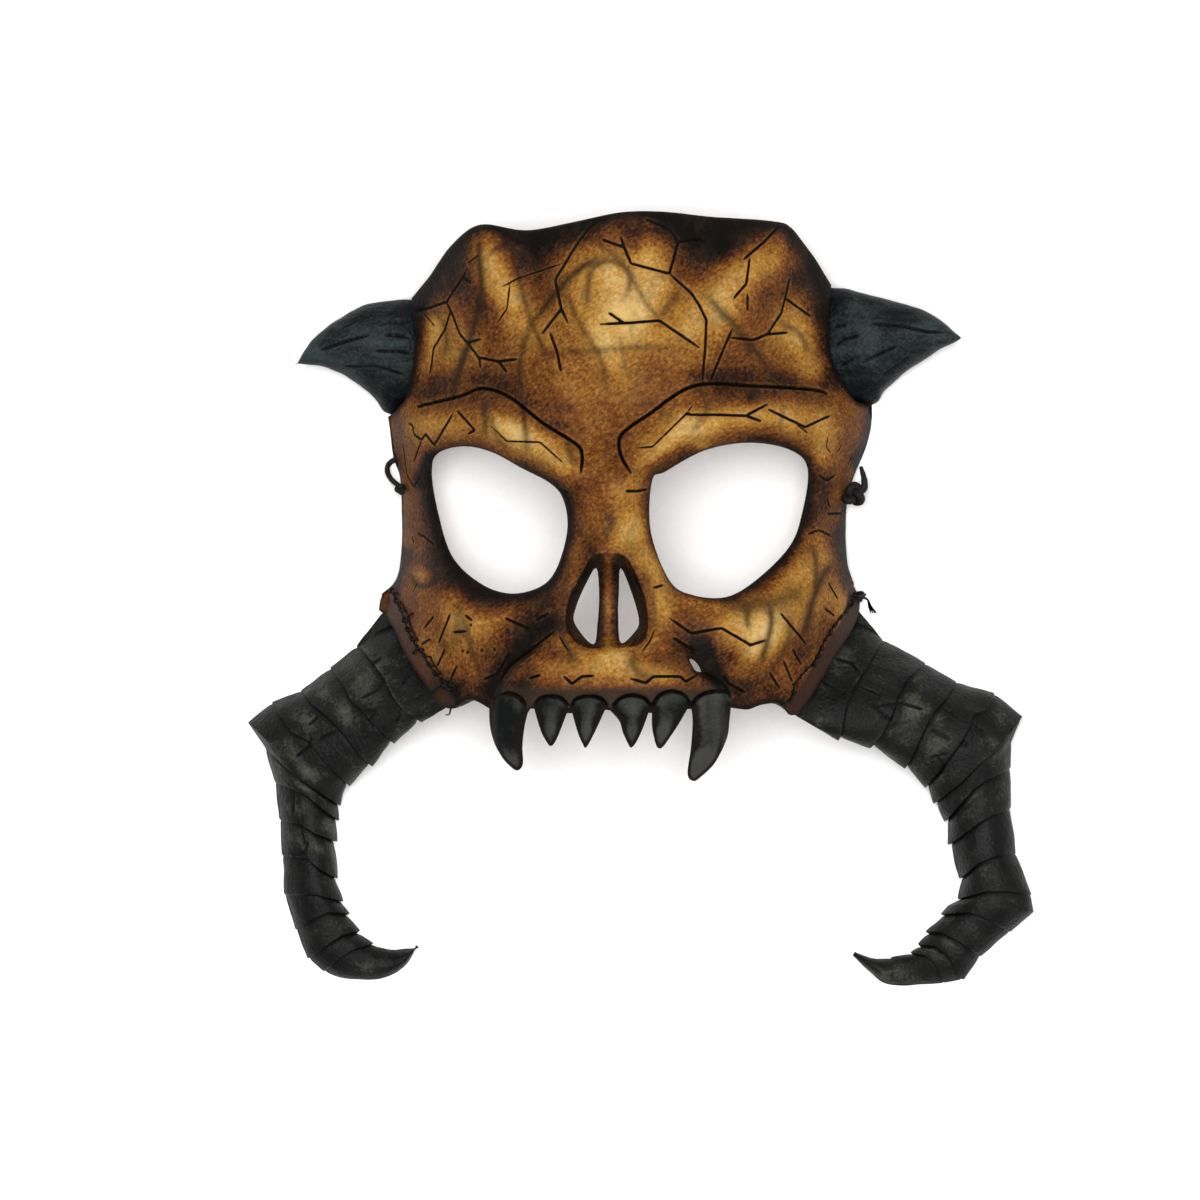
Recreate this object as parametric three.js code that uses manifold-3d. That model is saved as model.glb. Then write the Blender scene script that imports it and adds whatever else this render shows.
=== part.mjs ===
// A moulded leather skull mask, lying on its back with the face up.
// The face is one sheet of leather, with the teeth cut in one with the upper jaw. Two small horns
// sit under its edge at the temples, and two ridged tusks are sewn under the cheeks. A round black
// head cord is knotted in a hole in the rim on each side.
// Millimetres, +Z up from the table, +Y towards the crown, +X towards the right tusk.
// Outlines are drawn as they are seen from the front, with x from the middle of the nose and y from
// the nostrils. A height is measured up from the table.
import * as THREE from "three";
import { mergeVertices } from "three/addons/utils/BufferGeometryUtils.js";
import Module from "manifold-3d";

const wasm = await Module();
wasm.setup();

// Driving dimensions
const FACE_LEATHER = 3;
const HORN_LEATHER = 2.6;
const FIT_GAP = 0.35;
const TUCK = 5;
const CORD_DIAMETER = 2.2;
const CORD_HOLE = 3.4;
const THREAD_DIAMETER = 0.9;
const SIGHT_TILT = THREE.MathUtils.degToRad(6);
const CENTRE = { x: 9.713, y: 0.547 };

// The dome of the face: its height at the middle, and how far below the table it would close
const DOME_TOP = 52;
const DOME_FOOT = -17;
const CROWN_START = 30;
const CROWN_END = 112;
const CROWN_DROP = 13;
const TEETH_START = -30;
const TEETH_END = -52;
const TEETH_DROP = 5;

// Half width of the dome at each height up the face, as [y, half width]
const LEFT_WIDTH = [
  [-60, 70], [-30, 70], [-3, 67.2], [12, 61.6], [30, 61.3], [50, 64.6], [64, 66], [125, 66],
];
const RIGHT_WIDTH = [[-60, 80], [-30, 80], [-3, 77], [12, 72.6], [28, 72.6], [52, 80], [70, 77], [125, 75]];

// Outline of the face, clockwise from the top of the left horn's seat
const CROWN = [
  [-56.6, 87.7], [-51.3, 94], [-46.4, 101.1], [-41.5, 106], [-38, 108.2], [-33.8, 108.7], [-23.2, 107],
  [-11.3, 108.8], [4.1, 111.9], [15.8, 112.2], [29.9, 110.9], [48.9, 109.5], [53.1, 107.7], [60, 98.9],
  [65.4, 91.3],
];
const RIGHT_HORN_SEAT = [[65.4, 91.3], [64.4, 80], [65.4, 70.2], [68.6, 63.1], [72.8, 57.1], [77.6, 55.6]];
const RIGHT_RIM = [
  [77.6, 55.6], [75.6, 44.9], [72.5, 37.1], [70, 28.3], [69.9, 13.1], [71.6, 5.8], [74.8, 1],
];
const RIGHT_STRIP = [[74.8, 1], [72.7, -7.2], [67.1, -16.1], [59.9, -27.5], [56, -32.8]];
const RIGHT_CHEEK = [[56, -32.8], [53.2, -33.2], [50.2, -30], [44.7, -30.3], [40.9, -31.6], [36, -31]];
const LEFT_CHEEK = [[-33.8, -31.3], [-39.2, -29], [-44.4, -31.8], [-48.4, -30.7]];
const LEFT_STRIP = [[-48.4, -30.7], [-58.1, -17], [-61.8, -9], [-65.4, -3]];
const LEFT_RIM = [
  [-65.4, -3], [-64.6, 1.4], [-61.2, 5.8], [-59.6, 11.6], [-59.1, 22], [-59.3, 34.8], [-61, 42],
  [-62.6, 52.6],
];
const LEFT_HORN_SEAT = [[-62.6, 52.6], [-59.8, 56], [-57.7, 60.3], [-55.5, 73.7], [-56.6, 87.7]];

// Each tooth from its foot on the left, round its tip, to its foot on the right
const TEETH = [
  [
    [-33.8, -31.3], [-32.2, -38.6], [-30.2, -42.9], [-27.5, -47], [-25.2, -49.2], [-23.8, -47.3],
    [-24.2, -42], [-23.4, -36], [-22, -31.3],
  ],
  [
    [-20.7, -31.3], [-18.8, -37.7], [-17.1, -40.9], [-15.9, -42.2], [-14.5, -40.6], [-13, -37.1],
    [-11.3, -32.6],
  ],
  [[-9.7, -32.6], [-8.1, -38.3], [-6.7, -41.5], [-5.8, -42.6], [-3.5, -38.6], [-0.3, -31.6]],
  [
    [1.2, -31.8], [3.8, -34.8], [4.9, -38.3], [6.4, -41.5], [7.2, -42.6], [8.7, -40.9], [10.4, -37.4],
    [12.2, -32.5],
  ],
  [
    [13.2, -32.5], [13.3, -37.1], [14.5, -42], [15.7, -42.8], [16.8, -41.8], [20, -38.6], [22, -35.4],
    [23.6, -31.4],
  ],
  [
    [24.7, -31.4], [24.9, -36], [24.4, -42.9], [23.5, -50.2], [25.2, -52.2], [27.3, -51], [30.7, -47.8],
    [33.3, -43.5], [35.1, -39.1], [35.6, -34.8], [36, -31],
  ],
];

// Openings in the face
const LEFT_EYE = [
  [-50.8, 37.4], [-48.6, 42.7], [-41, 44.5], [-32.9, 43.1], [-24.6, 38.7], [-15.9, 33.9], [-12.2, 28.6],
  [-11.2, 20], [-14.3, 9.1], [-19.1, 3.8], [-27.8, 1.9], [-36.6, 5], [-45.4, 12.6], [-49.9, 26.1],
];
const RIGHT_EYE = [
  [13.6, 34.6], [17.1, 37.4], [28.4, 43], [41, 45.4], [53, 43.7], [58.6, 38], [57.7, 24.8], [53, 15.4],
  [43.5, 5.9], [34.7, 0.9], [24.6, 1.2], [17.7, 5.3], [13, 19.8],
];
const LEFT_NOSTRIL = [[-2.8, 9.2], [-2, 1.9], [-2.4, -6], [-3.7, -12.8], [-9, -6.8], [-8.6, -1.9], [-5.6, 5]];
const RIGHT_NOSTRIL = [[4.2, 9.2], [7.3, 2.3], [9.5, -5.9], [8, -9.5], [4.2, -12.3], [3.5, -4], [3.7, 1.9]];
const FOLD_GAP = [[24, -17], [25.9, -17.9], [27.4, -20.6], [25.6, -20.2]];

// The sunken floor round the nostrils, and the folds where the upper jaw stands proud of the cheeks
const NOSE_FLOOR = [
  [-3.6, 13], [-7.2, 7], [-10.4, 1.7], [-11.9, -4.6], [-11.4, -8.7], [-8.8, -12.3], [-4.1, -14], [4.1, -13.8],
  [9.9, -12.8], [12.2, -8], [11.3, 0.6], [8.7, 7], [5.2, 13],
];
const NOSE_FLOOR_DEPTH = 4;
const LEFT_FOLD = [[-60, -34.5], [-30, -33.6], [-24.6, -31.6], [-18.8, -27.8], [-14.5, -22], [-8.7, -14.5]];
const RIGHT_FOLD = [[-60, 36], [-27.8, 35.5], [-23, 32], [-21, 28], [-15, 24.5], [-10.9, 17.5]];
const FOLD_STEP = 5;
const FOLD_WIDTH = 3;
const FOLD_FADE = [-20, -9];
const EYE_ROLL = { depth: 3.2, width: 6 };

// Rolls and hollows of the moulding: a path across the face, a height and how far it spreads
const MOULDING = [
  { name: "left brow", height: 4.6, spread: 6, path: [[-57, 50], [-33, 51.5], [-24, 46.5], [-11, 36]] },
  { name: "right brow", height: 4.6, spread: 6, path: [[72, 50], [48, 53], [32, 51.5], [20, 48], [8, 35]] },
  { name: "left boss", height: 6, spread: 11, path: [[-36, 103], [-36, 84]] },
  { name: "right boss", height: 6, spread: 12, path: [[45, 104], [39, 86]] },
  { name: "forehead", height: 4, spread: 15, path: [[2, 108], [0, 78]] },
  { name: "left valley", height: -3.4, spread: 7, path: [[-23, 108], [-21, 84]] },
  { name: "right valley", height: -3.4, spread: 7, path: [[31, 111], [27, 84]] },
  { name: "left temple", height: -3, spread: 8, path: [[-52, 66], [-33, 68]] },
  { name: "right temple", height: -3, spread: 8, path: [[62, 70], [36, 70]] },
  { name: "glabella", height: -3, spread: 7, path: [[-1.5, 60], [-1.5, 45]] },
  { name: "bridge", height: 5, spread: 7, path: [[-1, 38], [1, 26], [0.6, 14]] },
  { name: "left wing", height: 3.4, spread: 5, path: [[-6, 12], [-13.5, -1], [-14, -10]] },
  { name: "right wing", height: 3.4, spread: 5, path: [[8, 12], [14, -1], [14.5, -10]] },
  { name: "left cheekbone", height: 5.5, spread: 9, path: [[-52, 5], [-43, -5], [-31, -9]] },
  { name: "right cheekbone", height: 5.5, spread: 9, path: [[64, 8], [52, -6], [36, -9]] },
  { name: "upper jaw", height: 3.6, spread: 15, path: [[-12, -22], [13, -22]] },
];

// Tooled lines deep enough to feel: over each brow, and over the root of each tooth
const LEFT_BROW_LINE = [
  [-55.7, 56], [-42.9, 58.9], [-36, 61.2], [-28.1, 58.6], [-18.3, 51], [-8.7, 44.9], [-7, 41.5],
  [-7.4, 36.5],
];
const RIGHT_BROW_LINE = [
  [64.4, 59.7], [60, 60.9], [43.2, 61.8], [25.5, 61.8], [12.2, 53.4], [6.1, 49.3], [3.8, 46.4], [4.3, 41.5],
  [7.2, 36.5],
];
const LINE_WIDTH = 2.4;

// Horns, from the seat under the face's edge to the tip: upper edge, lower edge, and heights
const LEFT_HORN = [
  { upper: [-59.8, 87.3], lower: [-64.6, 55.6], edges: [5, 0.5], crest: 8 },
  { upper: [-64, 86.7], lower: [-67.4, 58.4], edges: [4.5, 2.5], crest: 10 },
  { upper: [-71, 84.6], lower: [-71.4, 61.8], edges: [5, 3.5], crest: 10 },
  { upper: [-76.6, 81], lower: [-76.8, 65.2], edges: [6, 5], crest: 8.5 },
  { upper: [-81.5, 77.2], lower: [-82.4, 67.8], edges: [7, 7], crest: 6.5 },
  { upper: [-85.8, 73.7], lower: [-86.5, 68.4], edges: [8.5, 8.5], crest: 4.2 },
];
const LEFT_HORN_TIP = [-90, 68.6, 10];
const RIGHT_HORN = [
  { upper: [69.2, 90.6], lower: [78.6, 57.8], edges: [5, 0.5], crest: 8 },
  { upper: [74, 89.3], lower: [80.6, 60.8], edges: [4.5, 2.5], crest: 10 },
  { upper: [82, 87.2], lower: [85, 65.2], edges: [5, 3.5], crest: 10 },
  { upper: [89.5, 84.6], lower: [89.6, 68.7], edges: [6, 5], crest: 8.5 },
  { upper: [95, 82], lower: [95.6, 72.2], edges: [7, 7], crest: 6.5 },
  { upper: [99.4, 78.9], lower: [99.8, 74.4], edges: [8.5, 8.5], crest: 4.2 },
];
const RIGHT_HORN_TIP = [102.9, 76, 10];

// Ridges of the tusks, from the cheek to the tip: the outer end and the inner end of each
const LEFT_RIDGES = [
  [[-64.7, -5.2], [-47.7, -31.4]], [[-72.5, -13.3], [-53.6, -35.5]], [[-79.9, -19.8], [-61.5, -41.8]],
  [[-88.4, -26.7], [-68, -48.4]], [[-96.9, -30], [-74.7, -54.2]], [[-103.9, -36], [-76.3, -56.6]],
  [[-99.2, -42.8], [-77.4, -60]], [[-95.4, -52.8], [-77.7, -64.4]], [[-93.8, -63.8], [-78.2, -70.4]],
  [[-93.4, -74.2], [-78, -81.2]], [[-92.6, -85.3], [-76.4, -87.8]], [[-89, -95.4], [-74.6, -91.4]],
  [[-85.8, -103.5], [-71.6, -96.3]], [[-78, -109.1], [-67, -100.6]], [[-66.1, -109.6], [-61.8, -101.8]],
];
const LEFT_TUSK_TIP = [-54.9, -101, 2.4];
const RIGHT_RIDGES = [
  [[74.7, -4.3], [56.1, -33]], [[80, -11.5], [67.3, -40.8]], [[92.8, -18.2], [76.6, -43]],
  [[101.4, -24.1], [86.7, -48.9]], [[112.5, -27.3], [92.8, -54.5]], [[120.6, -34.1], [95.1, -59.2]],
  [[117.2, -48.7], [98.3, -64.4]], [[116.9, -60.3], [99.5, -71]], [[118.6, -73.4], [102.7, -80.9]],
  [[123.2, -85.3], [102.4, -86.8]], [[122.9, -92.3], [97.7, -91.1]], [[116.6, -96.8], [93.7, -95.7]],
  [[108.5, -102.9], [91.6, -99.4]], [[102.1, -109.9], [88.7, -102.4]], [[92.5, -111.4], [83.2, -103.4]],
];
const RIGHT_TUSK_TIP = [72.1, -102.6, 2.4];
const TUSK_CREST = [9, 12, 13, 13.5, 13.5, 13, 12.5, 12, 11.5, 11, 10.5, 9.5, 8.5, 7, 5];
const TUSK_INNER_EDGE = [26, 20, 14, 9, 5, 2, 0, -1, -1, -1, -1, -1, -1, -1, -1];
const TUSK_OUTER_EDGE = -1;
const RIDGE_STEP = 1.1;
const RIDGE_RUN = 0.8;

// Seams of black thread between the cheeks and the tusks
const LEFT_SEAM = [
  [-62.3, 2], [-60.3, -2], [-58.4, -6.4], [-55.6, -12.4], [-51.7, -17.8], [-47.8, -23.2], [-45.3, -25.6],
  [-43.8, -29.2],
];
const RIGHT_SEAM = [
  [72.8, 0], [68.1, -5.6], [63.4, -12.2], [59.9, -18.3], [54.6, -25.2], [52.6, -29.6],
];

// Where the cord goes through the rim, and its way inside the mask between the two holes
const LEFT_HOLE = [-58.3, 33.6];
const RIGHT_HOLE = [69, 31];
const CORD_LIE = CORD_DIAMETER / 2 + 0.3;
const CORD_ROUTE = [
  [-52.9, 36.6, 3.4], [-52.4, 41, 1.8], [-52.4, 46, CORD_LIE], [-51.6, 53, CORD_LIE], [-47, 61, CORD_LIE],
  [-38, 66, CORD_LIE], [-30, 61, CORD_LIE], [-22, 56, CORD_LIE], [-13, 60, CORD_LIE], [-11, 70, CORD_LIE],
  [-15, 80, CORD_LIE], [-12, 90, CORD_LIE], [-2, 95, CORD_LIE], [9, 92, CORD_LIE], [15, 83, CORD_LIE],
  [14, 72, CORD_LIE], [17, 61, CORD_LIE], [26, 56, CORD_LIE], [36, 59, CORD_LIE], [44, 65, CORD_LIE],
  [54, 64, CORD_LIE], [61, 55, CORD_LIE], [63.4, 45, CORD_LIE], [63, 39, 1.8], [63.4, 34.4, 3.6],
];

const LEFT_KNOT = [[-58.3, 31.6, 2.4], [-58.6, 34.4, 2.2], [-59.2, 36.9, 1.9]];
const RIGHT_KNOT = [[69, 29.2, 3], [69.6, 32.6, 2.7], [70.7, 35.9, 2.4]];
const KNOT_CLEARANCE = 0.7;
const CORD_STEPS = 62;
const EDGE_SAMPLE = 3.6;
const PLATE = 2;
const PLATE_DOMING = 0.001;
const COARSE = 6;
const FINE = 3.8;

const { clamp, lerp } = THREE.MathUtils;
const rise = (low, high, value) => THREE.MathUtils.smoothstep(value, low, high);
const flat = ([x, y]) => new THREE.Vector2(x, y);
const colour = (hex, roughness) => new THREE.MeshStandardMaterial({ color: hex, roughness, metalness: 0 });

const tanned = colour("#a8651e", 0.42);
const black = colour("#2c2d2a", 0.5);
const waxed = colour("#15120f", 0.6);

// The value at y between [y, value] rows.
function along(rows, y) {
  let i = 1;
  while (i < rows.length - 1 && y > rows[i][0]) i += 1;
  const [y0, a] = rows[i - 1];
  const [y1, b] = rows[i];
  return lerp(a, b, clamp((y - y0) / (y1 - y0), 0, 1));
}

// Points of a smooth line through the given ones, about one sample apart.
function smooth(points, closed = false) {
  const ends = closed ? [...points, points[0]] : points;
  const curve = new THREE.SplineCurve(ends.map(flat));
  const count = Math.max(2, Math.round(curve.getLength() / EDGE_SAMPLE));
  const list = curve.getSpacedPoints(count).map((p) => [p.x, p.y]);
  return closed ? list.slice(0, -1) : list;
}

function distanceTo(path, x, y) {
  let best = Infinity;
  for (let i = 1; i < path.length; i += 1) {
    const [ax, ay] = path[i - 1];
    const [bx, by] = path[i];
    const run = (bx - ax) ** 2 + (by - ay) ** 2;
    const t = clamp(((x - ax) * (bx - ax) + (y - ay) * (by - ay)) / run, 0, 1);
    best = Math.min(best, Math.hypot(x - lerp(ax, bx, t), y - lerp(ay, by, t)));
  }
  return best;
}

function isInside(loop, x, y) {
  let inside = false;
  loop.forEach(([ax, ay], i) => {
    const [bx, by] = loop[(i + 1) % loop.length];
    if (ay > y !== by > y && x < ax + ((y - ay) * (bx - ax)) / (by - ay)) inside = !inside;
  });
  return inside;
}

const eyes = [LEFT_EYE, RIGHT_EYE].map((eye) => smooth(eye, true));
const eyeEdges = eyes.map((eye) => [...eye, eye[0]]);
const floorEdge = [...NOSE_FLOOR, NOSE_FLOOR[0]];

// How far the moulding stands proud of the plain dome.
function moulding(x, y) {
  let height = 0;
  for (const roll of MOULDING) {
    height += roll.height * Math.exp(-((distanceTo(roll.path, x, y) / roll.spread) ** 2));
  }
  for (const edge of eyeEdges) {
    const away = isInside(edge.slice(0, -1), x, y) ? 0 : distanceTo(edge, x, y);
    height -= EYE_ROLL.depth * clamp(1 - away / EYE_ROLL.width, 0, 1) ** 2;
  }
  const pastLeft = rise(0, FOLD_WIDTH, x - along(LEFT_FOLD, y));
  const pastRight = rise(0, FOLD_WIDTH, along(RIGHT_FOLD, y) - x);
  height += FOLD_STEP * pastLeft * pastRight * (1 - rise(...FOLD_FADE, y));
  if (isInside(NOSE_FLOOR, x, y)) height -= NOSE_FLOOR_DEPTH * rise(0, 3, distanceTo(floorEdge, x, y));
  return height;
}

// The dome unrolled: across is the distance round it from the nose line, and y is as seen.
function halfWidth(across, y) {
  return along(across < 0 ? LEFT_WIDTH : RIGHT_WIDTH, y);
}

function unroll([x, y]) {
  const w = halfWidth(x, y);
  return new THREE.Vector2(w * Math.asin(clamp(x / w, -1, 1)), y);
}

// A point as seen from the front, at its height, moved to its place in the part's frame.
function place(x, y, h) {
  return new THREE.Vector3(
    x / Math.cos(SIGHT_TILT) + h * Math.tan(SIGHT_TILT) - CENTRE.x,
    y - CENTRE.y,
    h,
  );
}

function domePoint(across, y, withMoulding) {
  const w = halfWidth(across, y);
  const x = w * Math.sin(across / w);
  let h = DOME_FOOT + (DOME_TOP - DOME_FOOT) * Math.cos(across / w);
  h -= CROWN_DROP * (Math.max(0, y - CROWN_START) / (CROWN_END - CROWN_START)) ** 2;
  h -= TEETH_DROP * (Math.max(0, TEETH_START - y) / (TEETH_START - TEETH_END)) ** 2;
  if (withMoulding) h += moulding(x, y);
  return place(x, y, h);
}

function domeNormal(across, y) {
  const step = 0.5;
  const east = domePoint(across + step, y, false).sub(domePoint(across - step, y, false));
  const north = domePoint(across, y + step, false).sub(domePoint(across, y - step, false));
  return east.cross(north).normalize();
}

// A point a given depth under the face's outer skin, at the spot seen at x, y.
function under(x, y, depth) {
  const { x: across } = unroll([x, y]);
  return domePoint(across, y, true).addScaledVector(domeNormal(across, y), -depth);
}

function solid(geometry) {
  const bare = geometry.index ? geometry : mergeVertices(geometry);
  bare.deleteAttribute("normal");
  bare.deleteAttribute("uv");
  const merged = mergeVertices(bare, 1e-5);
  return new wasm.Manifold(
    new wasm.Mesh({
      numProp: 3,
      vertProperties: new Float32Array(merged.attributes.position.array),
      triVerts: new Uint32Array(merged.index.array),
    }),
  );
}

function geometryOf(body) {
  const { vertProperties, triVerts } = body.getMesh();
  const geometry = new THREE.BufferGeometry();
  geometry.setAttribute("position", new THREE.BufferAttribute(new Float32Array(vertProperties), 3));
  geometry.setIndex(new THREE.BufferAttribute(new Uint32Array(triVerts), 1));
  geometry.computeVertexNormals();
  return geometry;
}

// A closed body between two sheets of points, given as rows of equal length.
function shell(top, bottom) {
  const rows = top.length;
  const columns = top[0].length;
  const position = [...top.flat(), ...bottom.flat()].flatMap((p) => p.toArray());
  const index = [];
  const at = (sheet, r, c) => sheet * rows * columns + r * columns + c;
  const quad = (a, b, c, d) => index.push(a, b, c, a, c, d);
  for (let r = 0; r < rows - 1; r += 1) {
    for (let c = 0; c < columns - 1; c += 1) {
      quad(at(0, r, c), at(0, r, c + 1), at(0, r + 1, c + 1), at(0, r + 1, c));
      quad(at(1, r, c), at(1, r + 1, c), at(1, r + 1, c + 1), at(1, r, c + 1));
    }
  }
  const rim = [];
  for (let c = 0; c < columns - 1; c += 1) rim.push([0, c]);
  for (let r = 0; r < rows - 1; r += 1) rim.push([r, columns - 1]);
  for (let c = columns - 1; c > 0; c -= 1) rim.push([rows - 1, c]);
  for (let r = rows - 1; r > 0; r -= 1) rim.push([r, 0]);
  rim.forEach(([r, c], i) => {
    const [r2, c2] = rim[(i + 1) % rim.length];
    quad(at(1, r, c), at(1, r2, c2), at(0, r2, c2), at(0, r, c));
  });
  const geometry = new THREE.BufferGeometry();
  geometry.setAttribute("position", new THREE.Float32BufferAttribute(position, 3));
  geometry.setIndex(index);
  if (volumeOf(geometry) < 0) geometry.setIndex(index.reverse());
  return geometry;
}

function volumeOf({ index, attributes }) {
  const corner = [0, 1, 2].map(() => new THREE.Vector3());
  let volume = 0;
  for (let i = 0; i < index.count; i += 3) {
    corner.forEach((p, k) => p.fromBufferAttribute(attributes.position, index.getX(i + k)));
    volume += corner[0].dot(corner[1].cross(corner[2])) / 6;
  }
  return volume;
}

// The body with all that reaches below the table cut off flat.
function onTable(body) {
  const depth = 60;
  const below = new THREE.BoxGeometry(600, 600, depth).translate(0, 0, -depth / 2);
  return body.subtract(solid(below));
}

// A tube of the given width along a path in space.
function tube(path, width, sides, steps) {
  const section = new THREE.Shape();
  for (let i = 0; i < sides; i += 1) {
    const turn = (i / sides) * 2 * Math.PI;
    const corner = [(Math.cos(turn) * width) / 2, (Math.sin(turn) * width) / 2];
    if (i === 0) section.moveTo(...corner);
    else section.lineTo(...corner);
  }
  const extrudePath = new THREE.CatmullRomCurve3(path);
  return new THREE.ExtrudeGeometry(section, { steps, extrudePath, bevelEnabled: false });
}

// Face: a plate on a grid, cut to the unrolled outline, then bent over the dome.
function gridLines(from, to, fineFrom, fineTo) {
  const lines = [from];
  while (lines.at(-1) < to) {
    const last = lines.at(-1);
    lines.push(last + (last > fineFrom && last < fineTo ? FINE : COARSE));
  }
  return lines;
}

function plate() {
  const columns = gridLines(-98, 116, -20, 18);
  const rows = gridLines(-56, 116, -36, 14);
  const cells = [columns.length - 1, rows.length - 1];
  const box = new THREE.BoxGeometry(...cells, PLATE, ...cells);
  const position = box.attributes.position;
  for (let i = 0; i < position.count; i += 1) {
    const across = columns[Math.round(position.getX(i) + cells[0] / 2)];
    const y = rows[Math.round(position.getY(i) + cells[1] / 2)];
    const lift = PLATE_DOMING * (across ** 2 + y ** 2);
    position.setXYZ(i, across, y, position.getZ(i) + lift);
  }
  return solid(box);
}

function faceOutline() {
  const right = [CROWN, RIGHT_HORN_SEAT, RIGHT_RIM, RIGHT_STRIP, RIGHT_CHEEK].map((run) => smooth(run));
  const left = [LEFT_CHEEK, LEFT_STRIP, LEFT_RIM, LEFT_HORN_SEAT].map((run) => smooth(run));
  const teeth = TEETH.map((tooth) => [...tooth].reverse()).reverse();
  const loop = [...right, ...teeth, ...left].flat();
  return loop.filter(([x, y], i) => {
    const [lastX, lastY] = loop[(i + loop.length - 1) % loop.length];
    return Math.hypot(x - lastX, y - lastY) > 0.05;
  });
}

function face() {
  const outline = new THREE.Shape(faceOutline().map(unroll).reverse());
  const nostrils = [LEFT_NOSTRIL, RIGHT_NOSTRIL].map((hole) => smooth(hole, true));
  for (const hole of [...eyes, ...nostrils, FOLD_GAP]) outline.holes.push(new THREE.Path(hole.map(unroll)));
  const depth = 100;
  const cutter = new THREE.ExtrudeGeometry(outline, { depth, bevelEnabled: false });
  cutter.translate(0, 0, -depth / 2);
  const sheet = geometryOf(plate().intersect(solid(cutter)));
  const position = sheet.attributes.position;
  for (let i = 0; i < position.count; i += 1) {
    const across = position.getX(i);
    const y = position.getY(i);
    const isSkin = position.getZ(i) > PLATE_DOMING * (across ** 2 + y ** 2);
    const point = domePoint(across, y, true);
    if (!isSkin) point.addScaledVector(domeNormal(across, y), -FACE_LEATHER);
    position.setXYZ(i, point.x, point.y, point.z);
  }
  let body = onTable(solid(sheet));
  for (const line of [LEFT_BROW_LINE, RIGHT_BROW_LINE]) {
    const path = smooth(line).map(([x, y]) => under(x, y, 0));
    body = body.subtract(solid(tube(path, LINE_WIDTH, 4, path.length)));
  }
  for (const [x, y] of [LEFT_HOLE, RIGHT_HOLE]) {
    const bore = tube([under(x, y, -6), under(x, y, 3), under(x, y, 12)], CORD_HOLE, 10, 2);
    body = body.subtract(solid(bore));
  }
  return geometryOf(body);
}

// One arched section of moulded leather from edge to edge: its skin, or its inside for a depth.
const SECTION_STEPS = 7;
function arch({ upper, lower, edges, crest }, depth) {
  const points = [];
  const middle = [(upper[0] + lower[0]) / 2, (upper[1] + lower[1]) / 2];
  const halfSpan = Math.hypot(upper[0] - lower[0], upper[1] - lower[1]) / 2;
  const shrink = 1 - Math.min(depth, halfSpan * 0.8) / halfSpan;
  for (let i = 0; i <= SECTION_STEPS; i += 1) {
    const turn = (Math.PI * i) / SECTION_STEPS;
    const t = (1 - Math.cos(turn)) / 2;
    const x = lerp(middle[0], lerp(upper[0], lower[0], t), shrink);
    const y = lerp(middle[1], lerp(upper[1], lower[1], t), shrink);
    const h = lerp(edges[0], edges[1], t) + Math.max(0.6, crest - depth) * Math.sin(turn);
    points.push([x, y, h]);
  }
  return points;
}

// A row under the face's edge: the seat line moved inwards, following the inside of its leather.
function seatRow(seat, inward, depth) {
  const line = new THREE.SplineCurve(seat.map(flat)).getSpacedPoints(SECTION_STEPS);
  return line.map(({ x, y }) => under(x + inward[0], y + inward[1], depth));
}

// Rows of skin, then rows of inside, from the seat under the face out to the tip.
function mouldedPart(seat, inward, sections) {
  const seatDepth = FACE_LEATHER + FIT_GAP;
  const sheet = (depth) => [
    seatRow(seat, inward.map((v) => v * TUCK), seatDepth + depth),
    seatRow(seat, [0, 0], seatDepth + depth),
    seatRow(seat, inward.map((v) => -v * 1.4), seatDepth + 0.4 + depth),
    ...sections.map((section) => arch(section, depth).map((p) => place(...p))),
  ];
  return geometryOf(onTable(solid(shell(sheet(0), sheet(HORN_LEATHER)))));
}

// The last, very small section of a horn or a tusk, at its tip.
function tipSection([x, y, h], [lastX, lastY], size) {
  const away = new THREE.Vector2(x - lastX, y - lastY).normalize();
  return {
    upper: [x - away.y * size, y + away.x * size],
    lower: [x + away.y * size, y - away.x * size],
    edges: [h - 1, h - 1],
    crest: 1.6,
  };
}

function middleOf({ upper, lower }) {
  return [(upper[0] + lower[0]) / 2, (upper[1] + lower[1]) / 2];
}

function horn(seat, inward, sections, tip, turn) {
  return mouldedPart(seat, inward, [...sections, tipSection(tip, middleOf(sections.at(-1)), turn * 0.7)]);
}

// Each segment of a tusk widens to a ridge, and the next one starts a step narrower beside it.
function tusk(seat, inward, ridges, tip, turn) {
  const sections = ridges.map(([upper, lower], i) => ({
    upper,
    lower,
    edges: [TUSK_OUTER_EDGE, TUSK_INNER_EDGE[i]],
    crest: TUSK_CREST[i],
  }));
  const end = tipSection(tip, middleOf(sections.at(-1)), turn * 0.8);
  const rows = [];
  sections.forEach((section, i) => {
    if (i === 0) return;
    rows.push(section);
    const next = sections[i + 1] ?? end;
    rows.push(stepDown(section, next));
  });
  return mouldedPart(seat, inward, [...rows, end]);
}

function stepDown(section, next) {
  const [midX, midY] = middleOf(section);
  const half = Math.hypot(section.upper[0] - midX, section.upper[1] - midY);
  const shrink = RIDGE_STEP / half;
  const moved = (from, to) => {
    const run = Math.hypot(to[0] - from[0], to[1] - from[1]);
    const t = Math.min(0.5, RIDGE_RUN / run);
    return [lerp(lerp(from[0], to[0], t), midX, shrink), lerp(lerp(from[1], to[1], t), midY, shrink)];
  };
  return {
    upper: moved(section.upper, next.upper),
    lower: moved(section.lower, next.lower),
    edges: section.edges,
    crest: section.crest - RIDGE_STEP,
  };
}

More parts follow.
